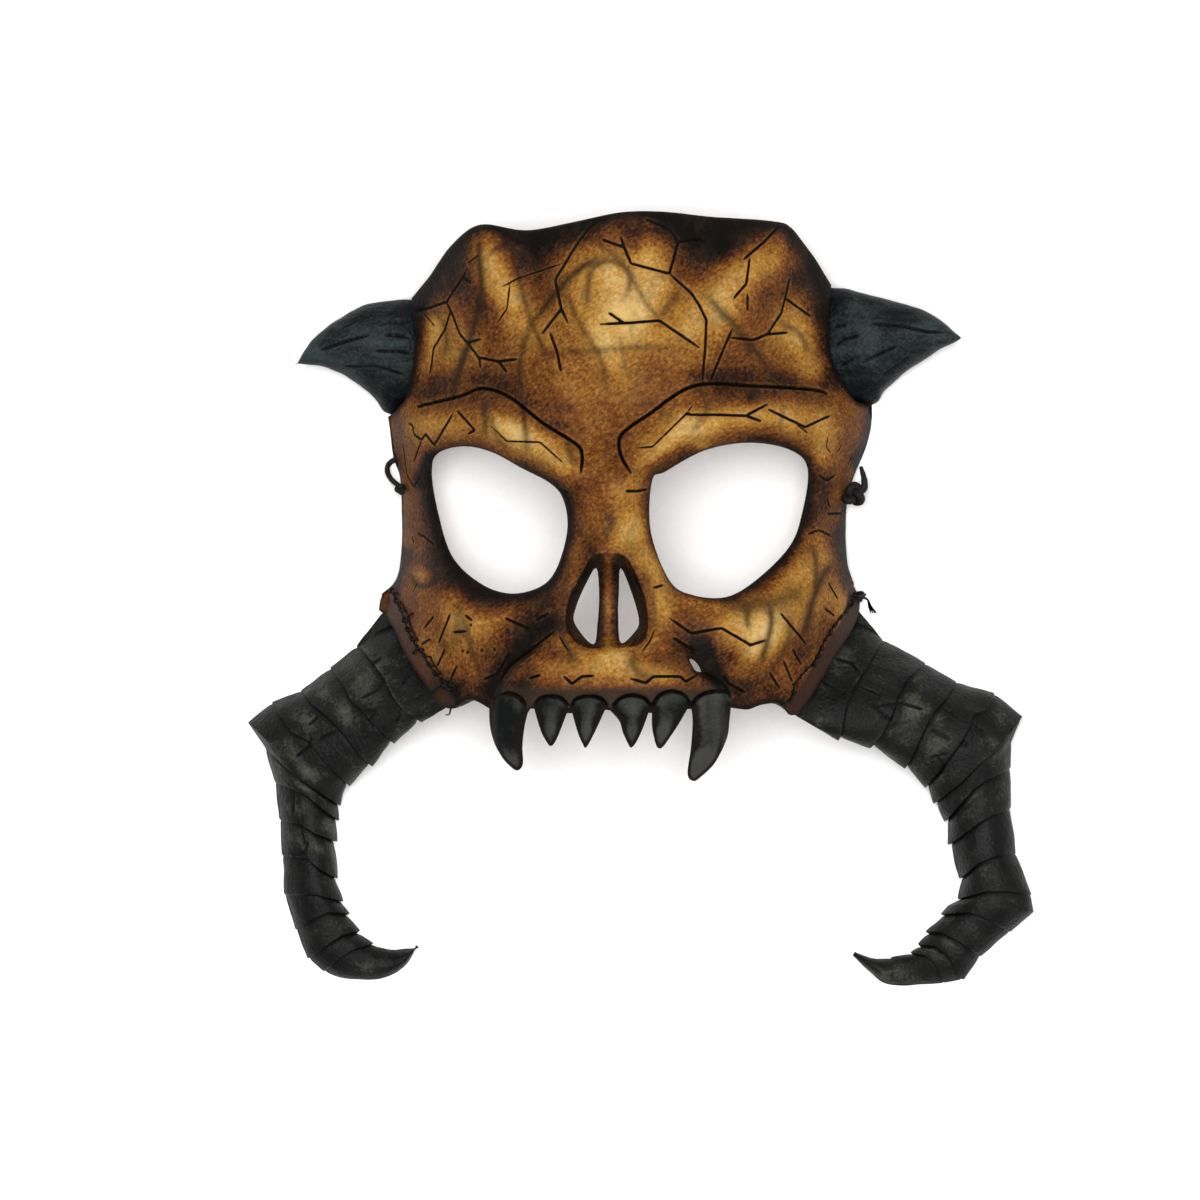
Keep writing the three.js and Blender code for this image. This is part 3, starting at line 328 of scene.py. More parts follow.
# Light and dark over the face, partly airbrushed dye and partly painted shade and highlight: amount,
# spread in mm, line
TONES = [
    (0.35, 5, [(-35.4, 104.4), (-32.8, 93.7), (-28.4, 87)]),
    (0.12, 5, [(-51.9, 82.6), (-48.1, 71.9)]),
    (0.32, 8, [(0.9, 94.7), (5.5, 83.5)]),
    (0.2, 3, [(3, 82), (9, 81)]),
    (-0.26, 4.5, [(-1, 107.5), (8, 107.5)]),
    (-0.14, 4, [(2, 101), (8, 102)]),
    (-0.12, 5, [(8, 105), (14, 104)]),
    (-0.28, 6.5, [(-40, 92), (-35, 85)]),
    (-0.1, 3, [(-35, 105), (-23, 96)]),
    (0.28, 3.2, [(-50, 80), (-53, 70), (-54.5, 62)]),
    (0.14, 3, [(-53.5, 68), (-54.5, 63)]),
    (0.2, 5, [(-41, 76), (-41, 66)]),
    (0.1, 6, [(-13, 90), (-12, 84)]),
    (0.16, 7, [(-23.5, 89), (-20.5, 79)]),
    (0.1, 5, [(-15.5, 97)]),
    (0.22, 5, [(0, 72), (4, 61)]),
    (0.13, 5, [(-9, 62)]),
    (0.24, 4.5, [(12, 98), (16, 91)]),
    (-0.1, 3, [(20, 92.5)]),
    (-0.07, 3, [(13, 78)]),
    (0.12, 4, [(22, 104)]),
    (0.2, 4, [(24.5, 78)]),
    (0.14, 3.5, [(7, 76), (17, 75)]),
    (0.24, 6, [(51, 77), (58, 75), (62, 68)]),
    (0.12, 4, [(59, 80)]),
    (0.12, 5, [(33, 85)]),
    (-0.1, 4, [(30, 72)]),
    (0.1, 7, [(40, 78), (42, 69)]),
    (0.12, 4, [(34, 95)]),
    (0.1, 5, [(29, 97)]),
    (-0.12, 3, [(46, 100), (49.5, 105)]),
    (-0.08, 4, [(27, 105)]),
    (-0.14, 4, [(55, 92)]),
    (-0.42, 8, [(-55.4, 89.9), (-48.1, 98), (-41.8, 104.4)]),
    (-0.37, 6, [(-27.3, 106.7), (-19.1, 105.8), (-9, 108.7)]),
    (-0.25, 7, [(-19.1, 98), (-17.7, 89.9)]),
    (-0.5, 3.5, [(-56, 87), (-55.1, 73.7), (-56.3, 62.3)]),
    (-0.12, 6, [(-37.4, 82.4)]),
    (-0.22, 4, [(-52.8, 61.5), (-39.4, 64.1), (-27, 61.8)]),
    (-0.04, 9, [(-9, 48.7), (-3.8, 53.9), (-1.2, 40.9)]),
    (0.07, 4, [(-4, 60), (-4, 43)]),
    (-0.09, 4, [(5, 36)]),
    (0.3, 4.5, [(-31, 50.5), (-24, 47.5), (-17, 43.5), (-11.9, 38.3)]),
    (-0.13, 3.2, [(-53, 55), (-38, 57.2), (-28, 54.5), (-15, 50)]),
    (-0.06, 2.5, [(-50, 60), (-35, 60), (-20, 57)]),
    (0.16, 4, [(-26, 48)]),
    (-0.08, 3, [(-22, 39), (-15, 35)]),
    (0.2, 1.8, [(-46, 42.7), (-36, 42.3), (-28, 39.8)]),
    (-0.12, 3, [(-47, 47.5)]),
    (-0.2, 2, [(-61.4, 53.9), (-60, 38.3)]),
    (-0.16, 2, [(-49.5, 28), (-46.5, 16)]),
    # Painted shadow along the outer edge of the left eye hole
    (-0.6, 2.2, [(-50.5, 40.9), (-53.4, 34.8)]),
    (0.22, 7, [(9.9, 87), (24.4, 81.8)]),
    (0.15, 6, [(14.2, 102.9)]),
    (-0.15, 5, [(17.7, 87)]),
    (-0.6, 5.5, [(19.1, 109.6), (27.3, 106.7), (37.4, 105.6), (46.1, 107.9)]),
    (-0.35, 8, [(30.2, 98.9)]),
    (-0.15, 5, [(21.8, 100.3)]),
    (0.32, 7, [(47.6, 102.9), (40.3, 94.2), (33.6, 89.9)]),
    (-0.22, 7, [(46.7, 90.2), (42.6, 82.4)]),
    (0.16, 5, [(54.8, 82), (57.7, 73.9), (60.6, 65.2)]),
    (0.12, 5, [(32.2, 79.8), (30.2, 69.3)]),
    (-0.15, 7, [(37.4, 70.5)]),
    (-0.26, 3.4, [(27.3, 64.4), (44.7, 63.8), (62.1, 62.3)]),
    (-0.45, 5, [(56.3, 102.9), (62.6, 91.3), (63.2, 78.3), (66.4, 66.1)]),
    (-0.2, 2.5, [(42.6, 59.2)]),
    (0.25, 4.5, [(14.2, 42), (24.4, 48.7), (37.4, 52.2), (50.5, 54.5)]),
    # Painted shadow under the roll of the right brow
    (-0.3, 2.8, [(14, 37.5), (18, 40.5), (22.5, 43)]),
    (0.2, 4, [(23, 52)]),
    (0.3, 2, [(28, 43.5), (36, 44.5), (46, 43.5)]),
    (0.28, 2.2, [(17.5, 10), (20, 5), (25, 1), (32, -1)]),
    (-0.08, 3, [(32, 50), (46, 50)]),
    (0.2, 3.5, [(62.6, 50.8), (63.6, 42)]),
    (-0.12, 4.5, [(71, 50), (66.5, 37), (65, 28)]),
    (-0.34, 1.8, [(77.3, 55), (75.7, 47), (73, 40)]),
    (-0.13, 3, [(64, 34), (63, 27)]),
    (-0.14, 3, [(67.5, 19), (68, 8)]),
    (0.1, 3, [(62, 12)]),
    (-0.08, 4, [(60, 35), (62, 20), (66, 0)]),
    (-0.1, 4, [(66, 15), (62, 11)]),
    (0.1, 2.5, [(67.5, 31), (67, 26)]),
    (0.1, 3.5, [(55, 51)]),
    (-0.15, 3, [(33, 58.8), (62, 58.4)]),
    (0.15, 5, [(-1.7, 78.3)]),
    (0.2, 4, [(-51, 52.2), (-46.7, 49.3)]),
    (-0.14, 4, [(-54.5, 35), (-53.5, 22)]),
    (-0.1, 5, [(-60, 10), (-57, -8)]),
    (-0.3, 2.6, [(-60, 13), (-60.8, 9), (-62, 4.5)]),
    (-0.14, 2.5, [(-57, 13)]),
    (0.06, 4, [(-56, 60)]),
    (-0.13, 4, [(-47, 5), (-49, -6)]),
    (0.2, 2.2, [(-53.4, 7.4)]),
    (-0.3, 5, [(-49, 11.6), (-43.8, 5.8), (-36.5, 0)]),
    (0.12, 3.5, [(-44.5, 0.5), (-43.8, -4.8)]),
    (0.2, 5, [(-38.5, -6), (-36, -12)]),
    (-0.34, 5, [(-34, -14), (-27, -9.5), (-20, -4)]),
    (0.08, 6, [(-39.4, -14.5), (-33.6, -18.8)]),
    (0.12, 3, [(-55.4, -8.4), (-50.8, -15.9)]),
    # Painted shadow beside the left fold, where the upper jaw stands proud of the cheek
    (-0.5, 3.2, [(-15.5, -7), (-21.5, -11.5), (-26, -16), (-30.6, -21.5), (-32.6, -26)]),
    (0.13, 3, [(-18, -19.6), (-9, -18.2), (-0.3, -18.4), (9.9, -20), (17, -21.5)]),
    (-0.1, 3, [(-23, -23.5), (-14, -22.5)]),
    (-0.3, 3.6, [(-25, -26), (-22, -21.5), (-16, -16)]),
    (-0.2, 3, [(-11, -17.5), (-4, -16)]),
    (-0.1, 2.5, [(-6.5, -14)]),
    (-0.26, 3.2, [(9, -16), (17, -17.6), (25, -20)]),
    (-0.15, 2.5, [(-24.9, -24.9), (-1.7, -25.2), (27.3, -24.9)]),
    (-0.14, 2.5, [(-10.5, 9), (-13.4, 0)]),
    (-0.2, 3, [(-16.5, 7.2), (-17.1, 0)]),
    (-0.13, 4, [(0.9, 25.8)]),
    (-0.18, 3, [(0, 17)]),
    (-0.1, 2.5, [(-3, 21), (-7, 11)]),
    (-0.16, 2.5, [(-4, 15)]),
    (0.12, 3, [(-9.5, 16.5)]),
    (-0.08, 2.5, [(6.5, 14.5)]),
    (0.12, 5, [(4.6, 31.6)]),
    (-0.1, 5, [(-9, 27), (-10, 18)]),
    (-0.18, 5, [(-9.9, 33.1)]),
    (0.3, 6, [(7.5, 20.3)]),
    (-0.1, 2.5, [(10.6, 5.5)]),
    (0.1, 5, [(12.8, 12.2)]),
    (-0.08, 3, [(0.9, 9)]),
    (0.22, 3, [(-6.4, -15.1), (9.9, -15.1)]),
    (0.22, 4, [(14.8, 10.1), (16.2, -2.9)]),
    (-0.04, 6, [(21.5, 0), (28.7, -3.2)]),
    (-0.28, 5, [(21.5, -11.6), (27.8, -12.2)]),
    (0.3, 6, [(37.4, -6.4), (43.8, -6.1)]),
    (0.4, 4, [(43, -14), (46, -11.5)]),
    (-0.12, 3, [(36, -18)]),
    (-0.12, 3, [(37, -4.5), (44, -2)]),
    (-0.14, 3, [(35.5, -16)]),
    (0.16, 5, [(50.5, -8), (53.4, 2.9), (57.7, 8.7)]),
    (-0.12, 3.5, [(55, -14)]),
    (0.12, 4, [(62.3, 16.5), (63.8, 11.6)]),
    (0.2, 4, [(67.3, 0), (68.4, -5.8)]),
    (-0.15, 4, [(56.3, -17.4), (62.9, -7.2)]),
    (-0.28, 2.4, [(69.5, 26), (69, 15.9), (70.4, 4.3)]),
    # Painted shadow beside the right fold, where the upper jaw stands proud of the cheek
    (-0.68, 3, [(27.3, -14.5), (30.4, -19.7), (33.1, -24.6)]),
    (-0.2, 6, [(40.3, -28.1), (54.8, -29)]),
    (-0.15, 4, [(39, -25.5)]),
    (-0.3, 4, [(-48.1, -25.5), (-43.5, -30.7)]),
    (-0.15, 5, [(-42.3, -26.1), (-33.6, -29)]),
]

# Rows of the tusks: place in the crest's table, whether it is a ridge, line from outside to inside
LEFT_TUSK_ROWS = [
    (1, True, [(-72.2, -13.7), (-70.8, -14.5), (-67.6, -18.3), (-64.7, -22.3), (-61.8, -28.1),
        (-58.9, -31.9), (-53.6, -35.5)]),
    (2, True, [(-79.9, -19.8), (-76.6, -24.4), (-73.7, -29.6), (-71, -31.9), (-68.4, -35.1),
        (-61.5, -41.8)]),
    (3, True, [(-88.4, -26.7), (-85.5, -30.4), (-80.9, -33.9), (-76.6, -38.6), (-72.2, -44.4),
        (-68, -48.4)]),
    (4, True, [(-96.9, -30), (-94.8, -33.9), (-91.3, -38.6), (-86.4, -40.9), (-81.8, -47.3),
        (-74.7, -54.2)]),
    (5, False, [(-103.9, -36), (-99.8, -40), (-93.1, -44.9), (-85.3, -51.6), (-76.3, -56.6)]),
    (6, True, [(-99.2, -42.8), (-93.7, -48.1), (-89, -52.2), (-84.1, -55.4), (-77.4, -60)]),
    (7, True, [(-96.3, -52.8), (-91.3, -54.8), (-87, -57.1), (-82.4, -60.9), (-77.7, -64.4)]),
    (8, True, [(-94.7, -63.8), (-88.4, -65.5), (-84.7, -67.9), (-78.2, -70.4)]),
    (9, True, [(-94, -74.2), (-90.5, -74.5), (-87, -75.4), (-82.9, -78.6), (-78, -81.2)]),
    (10, True, [(-93.3, -85.5), (-84.1, -85.8), (-76.4, -87.8)]),
    (11, True, [(-90.1, -95.8), (-85.5, -92.8), (-80.9, -90.8), (-74.6, -91.4)]),
    (12, True, [(-86.6, -104.2), (-80.6, -100), (-76.8, -97.4), (-71.6, -96.3)]),
    (12.7, True, [(-82, -108), (-77.7, -104.4), (-73.7, -101.8), (-67.6, -100)]),
    (13.3, False, [(-76.4, -110), (-72.5, -106.1), (-65.8, -100.9)]),
    (14, False, [(-66.1, -110.1), (-63.2, -105.6), (-61.8, -101.8)]),
    (14.5, False, [(-58.9, -106.7), (-58.6, -104.1), (-58.4, -101.5)]),
]

RIGHT_TUSK_ROWS = [
    (1, True, [(80, -11.6), (76, -18.3), (71.6, -25.2), (69.3, -31.3), (67.3, -40.8)]),
    (2, True, [(92.5, -18.5), (87.3, -22.6), (84.4, -27.5), (83.5, -31.3), (81.5, -35.7),
        (79.8, -39.1), (76.6, -43)]),
    (3, True, [(101.4, -24.1), (98, -29), (94.2, -33.3), (91.9, -38), (89.6, -43.2), (86.7, -48.9)]),
    (4, True, [(112.5, -27.3), (109.9, -31.9), (106.1, -33.1), (105.6, -36.2), (102.7, -41.2),
        (99.5, -45.5), (92.8, -54.5)]),
    (5, True, [(120.6, -34.1), (116.9, -39.1), (113.4, -43.2), (107.9, -47.8), (102.7, -53.1),
        (95.1, -59.2)]),
    (5.5, False, [(117.5, -41.6), (114, -45.4), (109.2, -49.4), (104.6, -54), (96.6, -61.7)]),
    (6, True, [(117.2, -48.7), (111.1, -51.6), (106.4, -54.8), (102.7, -59.2), (98.3, -64.4)]),
    (7, True, [(117.3, -60.3), (112.5, -62.1), (107.9, -64.7), (104.1, -67.6), (99.5, -71)]),
    (8, True, [(118.6, -73.4), (113.4, -73.9), (107.9, -76.3), (102.7, -80.9)]),
    (9, True, [(123.2, -85.3), (117.7, -84.4), (110.2, -84.4), (102.4, -86.8)]),
    (9.6, False, [(123.8, -90.5), (115.7, -89.3), (107, -87.6), (99.2, -88.7)]),
    (10.4, True, [(117.2, -96.1), (110.2, -92.2), (105, -90.5), (97.3, -91.2)]),
    (11.5, True, [(108.9, -103.1), (101.8, -98.6), (97.4, -96.3), (93.1, -96.3)]),
    (12.5, True, [(103.8, -110), (99.2, -103.2), (95.7, -100.3), (90.9, -100)]),
    (13.2, True, [(98.3, -110.9), (95.7, -106.1), (92.8, -103.2), (88.7, -102.4)]),
    (14, False, [(92.5, -111.4), (88.2, -107.3), (83.2, -103.4)]),
    (14.3, False, [(82.4, -111.4), (82.4, -107.9), (82.4, -104)]),
    (14.7, False, [(77.1, -108), (77.1, -105.8), (77.1, -103.7)]),
]

# Cracks carved in the tusks
LEFT_TUSK_CRACKS = [
    [(-64.4, -22.9), (-65.8, -25.8), (-70.8, -28.4)],
    [(-71, -31.9), (-67, -32.2), (-68.7, -34.8), (-67.6, -37.7)],
    [(-83.5, -40.6), (-78.9, -38)],
    [(-86.4, -42.6), (-90.2, -45.5)],
    [(-86.4, -42.6), (-85.8, -40)],
    [(-86.4, -36.2), (-84.1, -33.9)],
    [(-91.1, -56.3), (-91.1, -62.1)],
    [(-89.6, -64.4), (-87.9, -71)],
    [(-58.9, -24.4), (-56.5, -22)],
    [(-55.1, -28.7), (-52.8, -27.3)],
    [(-60.9, -36.2), (-59.4, -33.9)],
    [(-91.3, -74.5), (-87.6, -73.4), (-87, -70.5)],
    [(-67.9, -18.8), (-65.2, -17.1)],
]

RIGHT_TUSK_CRACKS = [
    [(66.7, -17.1), (70.8, -18.3), (72.8, -20.6)],
    [(73.9, -25.2), (79.2, -27.5)],
    [(62.3, -23.5), (69.3, -27.5)],
    [(83.8, -29.6), (78, -30.7), (82.6, -35.1)],
    [(84.1, -29.3), (91.6, -31.6)],
    [(98, -31.3), (100.3, -32.5)],
    [(94.2, -37.7), (99.5, -40.3)],
    [(107.3, -36.5), (109, -37.7)],
    [(95.4, -45.5), (97.4, -47.3), (96.6, -50.2), (93.7, -53.1)],
    [(94, -45.8), (98.3, -44.9)],
    [(81.2, -38), (84.4, -36)],
    [(102.7, -41.2), (105, -42.3)],
]

# Grooves along the horns
LEFT_HORN_GROOVES = [
    [(-76.6, 78.9), (-72.5, 81.5), (-67.9, 82.9), (-61.2, 83.3)],
    [(-61.2, 81), (-56.9, 81.3)],
    [(-64.4, 77.2), (-57.3, 76.6)],
    [(-82.9, 72.6), (-75.2, 75.4), (-68.9, 77)],
    [(-66.8, 72.4), (-59.7, 72.2), (-56.6, 71.2)],
    [(-76, 68), (-66.8, 67.7), (-59, 65.6)],
]

RIGHT_HORN_GROOVES = [
    [(66.1, 79.3), (69.3, 79.8)],
    [(77, 80.2), (85.4, 79.6), (93.1, 77.7), (97.4, 77.7)],
    [(66.4, 73.7), (69.3, 75.8), (73.1, 76.6)],
    [(68.1, 67.7), (71.7, 69.8)],
    [(74.5, 68.9), (84, 73.4)],
    [(80.5, 65.2), (87.9, 70.5)],
]

# Where the gum ends over the root of each tooth
GUM_ARCS = [
    [(-32.5, -30.7), (-31.6, -28.1), (-28.4, -26.9), (-24.9, -28.1), (-23.2, -30.7)],
    [(-20.9, -30.7), (-19.1, -28.4), (-15.9, -27.7), (-12.8, -28.4), (-11, -30.7)],
    [(-10.1, -30.7), (-8.4, -28.4), (-4.9, -27.7), (-1.4, -28.4), (0.3, -30.7)],
    [(2, -30.7), (4.1, -28.3), (7.5, -27.4), (11, -28.3), (13, -30.7)],
    [(13.3, -30.7), (15.4, -27.5), (19.1, -26.3), (22.6, -27.5), (24.4, -30.4)],
    [(24.6, -30.7), (26.4, -28.1), (29.9, -26.5), (34.8, -26.5), (35.7, -28.1)],
]

# Horns, from the seat under the face's edge to the tip: upper edge, lower edge, their heights, crest
LEFT_HORN = [
    ((-59.8, 87.3), (-64.5, 55), (5, 0.5), 10.8),
    ((-64, 87), (-67.4, 58.7), (4.5, 2.5), 10),
    ((-71.2, 85.6), (-71.3, 62.3), (5, 3.5), 10),
    ((-77.1, 82.5), (-76.7, 65.7), (6, 5), 8.5),
    ((-82.2, 78.7), (-82.2, 68), (7, 7), 6.5),
    ((-86.4, 74.6), (-86.4, 68.6), (8.5, 8.5), 4.2),
]
LEFT_HORN_TIP = (-90.4, 68.6, 10)
RIGHT_HORN = [
    ((69.2, 90.6), (78.6, 57.5), (5, 0.5), 10.8),
    ((74, 89.3), (80.9, 60.4), (4.5, 2.5), 10),
    ((82, 87.2), (85.3, 64.7), (5, 3.5), 10),
    ((89.6, 84.9), (90, 68.3), (6, 5), 8.5),
    ((95.1, 82.3), (95.9, 71.9), (7, 7), 6.5),
    ((99.6, 79.1), (100.1, 74.2), (8.5, 8.5), 4.2),
]
RIGHT_HORN_TIP = (102.9, 76, 10)

# Tips of the tusks, and the heights of their crest and inner edge from the cheek to the tip
LEFT_TUSK_TIP = (-54.9, -101, 2.4)
RIGHT_TUSK_TIP = (72.1, -102.6, 2.4)
TUSK_CREST = [9, 12, 13, 13.5, 13.5, 13, 12.5, 12, 11.5, 11, 10.5, 9.5, 8.5, 7, 5]
TUSK_INNER_EDGE = [26, 20, 14, 9, 5, 2, 0, -1, -1, -1, -1, -1, -1, -1, -1]
TUSK_OUTER_EDGE = -1

# Half the width and the height of the last row, at the tip of a horn or tusk
TIP_SIZE = 0.3
TIP_CREST = 0.8

# How far a seat goes in under the face, how far it shows outside and how much lower it lies there, its
# gap to the face's leather, and the thickness of that leather
TUCK = 5
LIP = 1.4
LIP_DROP = 0.4
FIT_GAP = 0.35
FACE_LEATHER = 3

# How far above the table the outside and the inside of the leather stay
FACE_CLEAR = 0.35
HORN_CLEAR = 0.3
INSIDE_CLEAR = 0.02

# For each horn and tusk: piece, node, seat, the way in from it, sections, tip and carved lines
HORNS = (
    ("horn_left_leather", "horn_left", [*LEFT_HORN_SEAT[:0:-1], LEFT_HORN_CORNER], (1, 0),
     LEFT_HORN, LEFT_HORN_TIP, LEFT_HORN_GROOVES),
    ("horn_right_leather", "horn_right", [*RIGHT_HORN_SEAT[:-1], RIGHT_HORN_CORNER], (-1, 0),
     RIGHT_HORN, RIGHT_HORN_TIP, RIGHT_HORN_GROOVES),
)
TUSKS = (
    ("tusk_left_leather", "tusk_left", LEFT_STRIP[::-1], (0.85, 0.53),
     LEFT_TUSK_ROWS, LEFT_TUSK_TIP, LEFT_TUSK_CRACKS),
    ("tusk_right_leather", "tusk_right", RIGHT_STRIP, (-0.86, 0.51),
     RIGHT_TUSK_ROWS, RIGHT_TUSK_TIP, RIGHT_TUSK_CRACKS),
)

# Where the teeth begin under the gum, how far they reach sideways, and where the two fangs begin
TEETH_ROOT = -31.2
TEETH_SPAN = (-34.3, 36.4)
FANGS_PAST = (-22, 24.2)

# Where the worn tip of a fang and of another tooth starts, and how long it takes to show fully
FANG_TIP = -40
TOOTH_TIP = -33.5
TIP_RUN = 5.5

# How far the strips along the seams reach from the edge
LEFT_STRIP_WIDTH = 4
RIGHT_STRIP_WIDTH = 3.9

# Where the cord goes through the rim, and its way inside the mask between the two holes
LEFT_HOLE = (-58.3, 33.6)
RIGHT_HOLE = (69, 31)
CORD_IN_HOLE = (0.5, 2.4, 4.2)
CORD_LIE = 1.4
CORD_ROUTE = [
    (-52.9, 36.6, 3.4), (-52.4, 41, 1.8), (-52.4, 46, CORD_LIE), (-51.6, 53, CORD_LIE),
    (-47, 61, CORD_LIE), (-38, 66, CORD_LIE), (-30, 61, CORD_LIE), (-22, 56, CORD_LIE),
    (-13, 60, CORD_LIE), (-11, 70, CORD_LIE), (-15, 80, CORD_LIE), (-12, 90, CORD_LIE),
    (-2, 95, CORD_LIE), (9, 92, CORD_LIE), (15, 83, CORD_LIE), (14, 72, CORD_LIE), (17, 61, CORD_LIE),
    (26, 56, CORD_LIE), (36, 59, CORD_LIE), (44, 65, CORD_LIE), (54, 64, CORD_LIE), (61, 55, CORD_LIE),
    (63.4, 45, CORD_LIE), (63, 39, 1.8), (63.4, 34.4, 3.6),
]

# The left end's loop and the right end's tail: spots as seen, and depths under the skin
LEFT_LOOP = (
    ((-58.9, 33.4), -1.4), ((-59.3, 35.4), -3.2), ((-60, 37.8), -3.8), ((-60.9, 39.8), -2.6),
    ((-61, 41), -0.6), ((-60.6, 41.4), 1.2),
)
RIGHT_TAIL = (((69.8, 31.6), -3), ((70.6, 33.6), -4.6), ((71.2, 36), -4.2), ((72, 39.4), -2.2))


# Colours and nodes


def linear(code):
    """An sRGB hex colour as linear red, green, blue and a full alpha."""
    parts = [int(code[i : i + 2], 16) / 255 for i in (1, 3, 5)]
    return (*[c / 12.92 if c <= 0.04045 else ((c + 0.055) / 1.055) ** 2.4 for c in parts], 1.0)


def add(tree, kind, settings=None, inputs=None):
    """Adds a node. Settings are its properties or a ramp's stops, and inputs are values or sockets."""
    node = tree.nodes.new("ShaderNode" + kind)
    for name, value in (settings or {}).items():
        if name == "stops":
            ramp = node.color_ramp
            while len(ramp.elements) < len(value):
                ramp.elements.new(0.5)
            for element, (position, colour) in zip(ramp.elements, value):
                element.position = position
                element.color = colour
        else:
            setattr(node, name, value)
    for name, value in (inputs or {}).items():
        if isinstance(value, bpy.types.NodeSocket):
            tree.links.new(value, node.inputs[name])
        else:
            node.inputs[name].default_value = value
    return node


def new_material(name):
    """A material with an empty tree."""
    material = bpy.data.materials.new(name)
    material.use_nodes = True
    material.node_tree.nodes.clear()
    return material, material.node_tree


def crisp_line(tree, soft_line, rough):
    """The middle of a soft line kept as an attribute, with an edge sharper than the mesh can hold."""
    uneven = add(tree, "Math", {"operation": "MULTIPLY_ADD"}, {0: rough, 1: 0.44, 2: soft_line})
    edge = {"Value": uneven.outputs[0], "From Min": 0.72, "From Max": 0.98}
    return add(tree, "MapRange", {"interpolation_type": "SMOOTHSTEP"}, edge).outputs["Result"]


def per_metre(size):
    """The texture scale that repeats about once in a size in millimetres."""
    return 1 / (size * MM)


# Lines and distances


# How much wider than its groove a line's soft attribute is
LINE_BLUR = 1.65


def curve_through(points, closed=False, steps=12):
    """A smooth line through points of any kind, such as (x, y) or whole rows of a surface."""
    p = np.asarray(points, float)
    if closed:
        p = np.concatenate([p[-1:], p, p[:2]])
    else:
        p = np.concatenate([p[:1], p, p[-1:]])
    t = np.linspace(0, 1, steps, endpoint=False).reshape((-1,) + (1,) * (p.ndim - 1))
    parts = []
    for a, b, c, d in zip(p, p[1:], p[2:], p[3:]):
        leave = (c - a) / 2
        arrive = (d - b) / 2
        parts.append(
            (2 * t**3 - 3 * t**2 + 1) * b
            + (t**3 - 2 * t**2 + t) * leave
            + (3 * t**2 - 2 * t**3) * c
            + (t**3 - t**2) * arrive
        )
    if not closed:
        parts.append(p[-2:-1])
    return np.concatenate(parts)


def closed_loop(line):
    """The line with its first point again at its end."""
    return np.concatenate([line, line[:1]])


def lengths_along(line):
    """The length of a line up to each of its points."""
    return np.concatenate([[0], np.cumsum(np.linalg.norm(np.diff(line, axis=0), axis=1))])


def resample(line, where):
    """Points of a line at shares of its length."""
    run = lengths_along(line)
    at = np.asarray(where) * run[-1]
    return np.stack([np.interp(at, run, line[:, k]) for k in range(line.shape[1])], axis=1)


def smooth_line(points, step, closed=False):
    """A smooth line through the points, in pieces about one step long."""
    return stepped_line(curve_through(points, closed), step, closed)


def stepped_line(points, step, closed=False):
    """The straight line from point to point, in pieces about one step long."""
    line = np.asarray(points, float)
    if closed:
        line = closed_loop(line)
    count = max(2, round(lengths_along(line)[-1] / step))
    line = resample(line, np.linspace(0, 1, count + 1))
    return line[:-1] if closed else line


def nearest_on(line, spots, reach=math.inf):
    """How far each spot is from the line, and the share of the line's length at its nearest point."""
    line = np.asarray(line, float)
    away = np.full(len(spots), math.inf)
    share = np.zeros(len(spots))
    chosen = np.arange(len(spots))
    if reach < math.inf:
        low = line.min(axis=0) - reach
        high = line.max(axis=0) + reach
        chosen = np.flatnonzero(((spots > low) & (spots < high)).all(axis=1))
    if len(line) == 1:
        away[chosen] = np.linalg.norm(spots[chosen] - line[0], axis=1)
        return away, share
    run = lengths_along(line)
    near = spots[chosen]
    best = np.full(len(near), math.inf)
    part = np.zeros(len(near))
    for i, (start, end) in enumerate(zip(line, line[1:])):
        way = end - start
        t = np.clip((near - start) @ way / max(way @ way, 1e-9), 0, 1)
        d = np.linalg.norm(near - start - t[:, None] * way, axis=1)
        closer = d < best
        best[closer] = d[closer]
        part[closer] = (run[i] + t[closer] * (run[i + 1] - run[i])) / run[-1]
    away[chosen] = best
    share[chosen] = part
    return away, share


def is_inside(loop, spots):
    """Whether each spot is inside the closed loop."""
    x, y = spots[:, 0], spots[:, 1]
    inside = np.zeros(len(spots), bool)
    for (ax, ay), (bx, by) in zip(loop, np.roll(loop, -1, axis=0)):
        if ay == by:
            continue
        crosses = (ay > y) != (by > y)
        inside ^= crosses & (x < ax + (y - ay) * (bx - ax) / (by - ay))
    return inside


def rise(low, high, value):
    """A smooth step from 0 at low to 1 at high."""
    t = np.clip((value - low) / (high - low), 0, 1)
    return t * t * (3 - 2 * t)


def bell(distance, spread):
    """1 at no distance, falling smoothly to 0 over about two spreads."""
    return np.exp(-((distance / spread) ** 2))


def run_out(share, taper, least):
    """How strong a line still is at a share of its length: it fades over a taper at both ends."""
    return np.clip(np.minimum(share, 1 - share) / taper + least, 0, 1)


def cut_lines(spots, paths, depth, width, taper=0.15, least=0.3, strength=1):
    """How deep the carved lines are at each spot, and how dark."""
    deep = np.zeros(len(spots))
    dark = np.zeros(len(spots))
    for path in paths:
        away, share = nearest_on(path, spots, 4)
        ends = run_out(share, taper, least)
        deep = np.maximum(deep, depth * ends * bell(away, width))
        dark = np.maximum(dark, strength * ends**0.25 * bell(away, LINE_BLUR * width))
    return deep, dark


def grain_of(points, size, octaves=2):
    """Smooth random values between about -1 and 1, with lumps of a size in millimetres."""
    total = np.zeros(len(points))
    for octave in range(octaves):
        scaled = points * (2**octave / size) + 17.3 * octave
        total += np.array([noise.noise(Vector(p)) for p in scaled]) / 2**octave
    return total


# The dome of the face


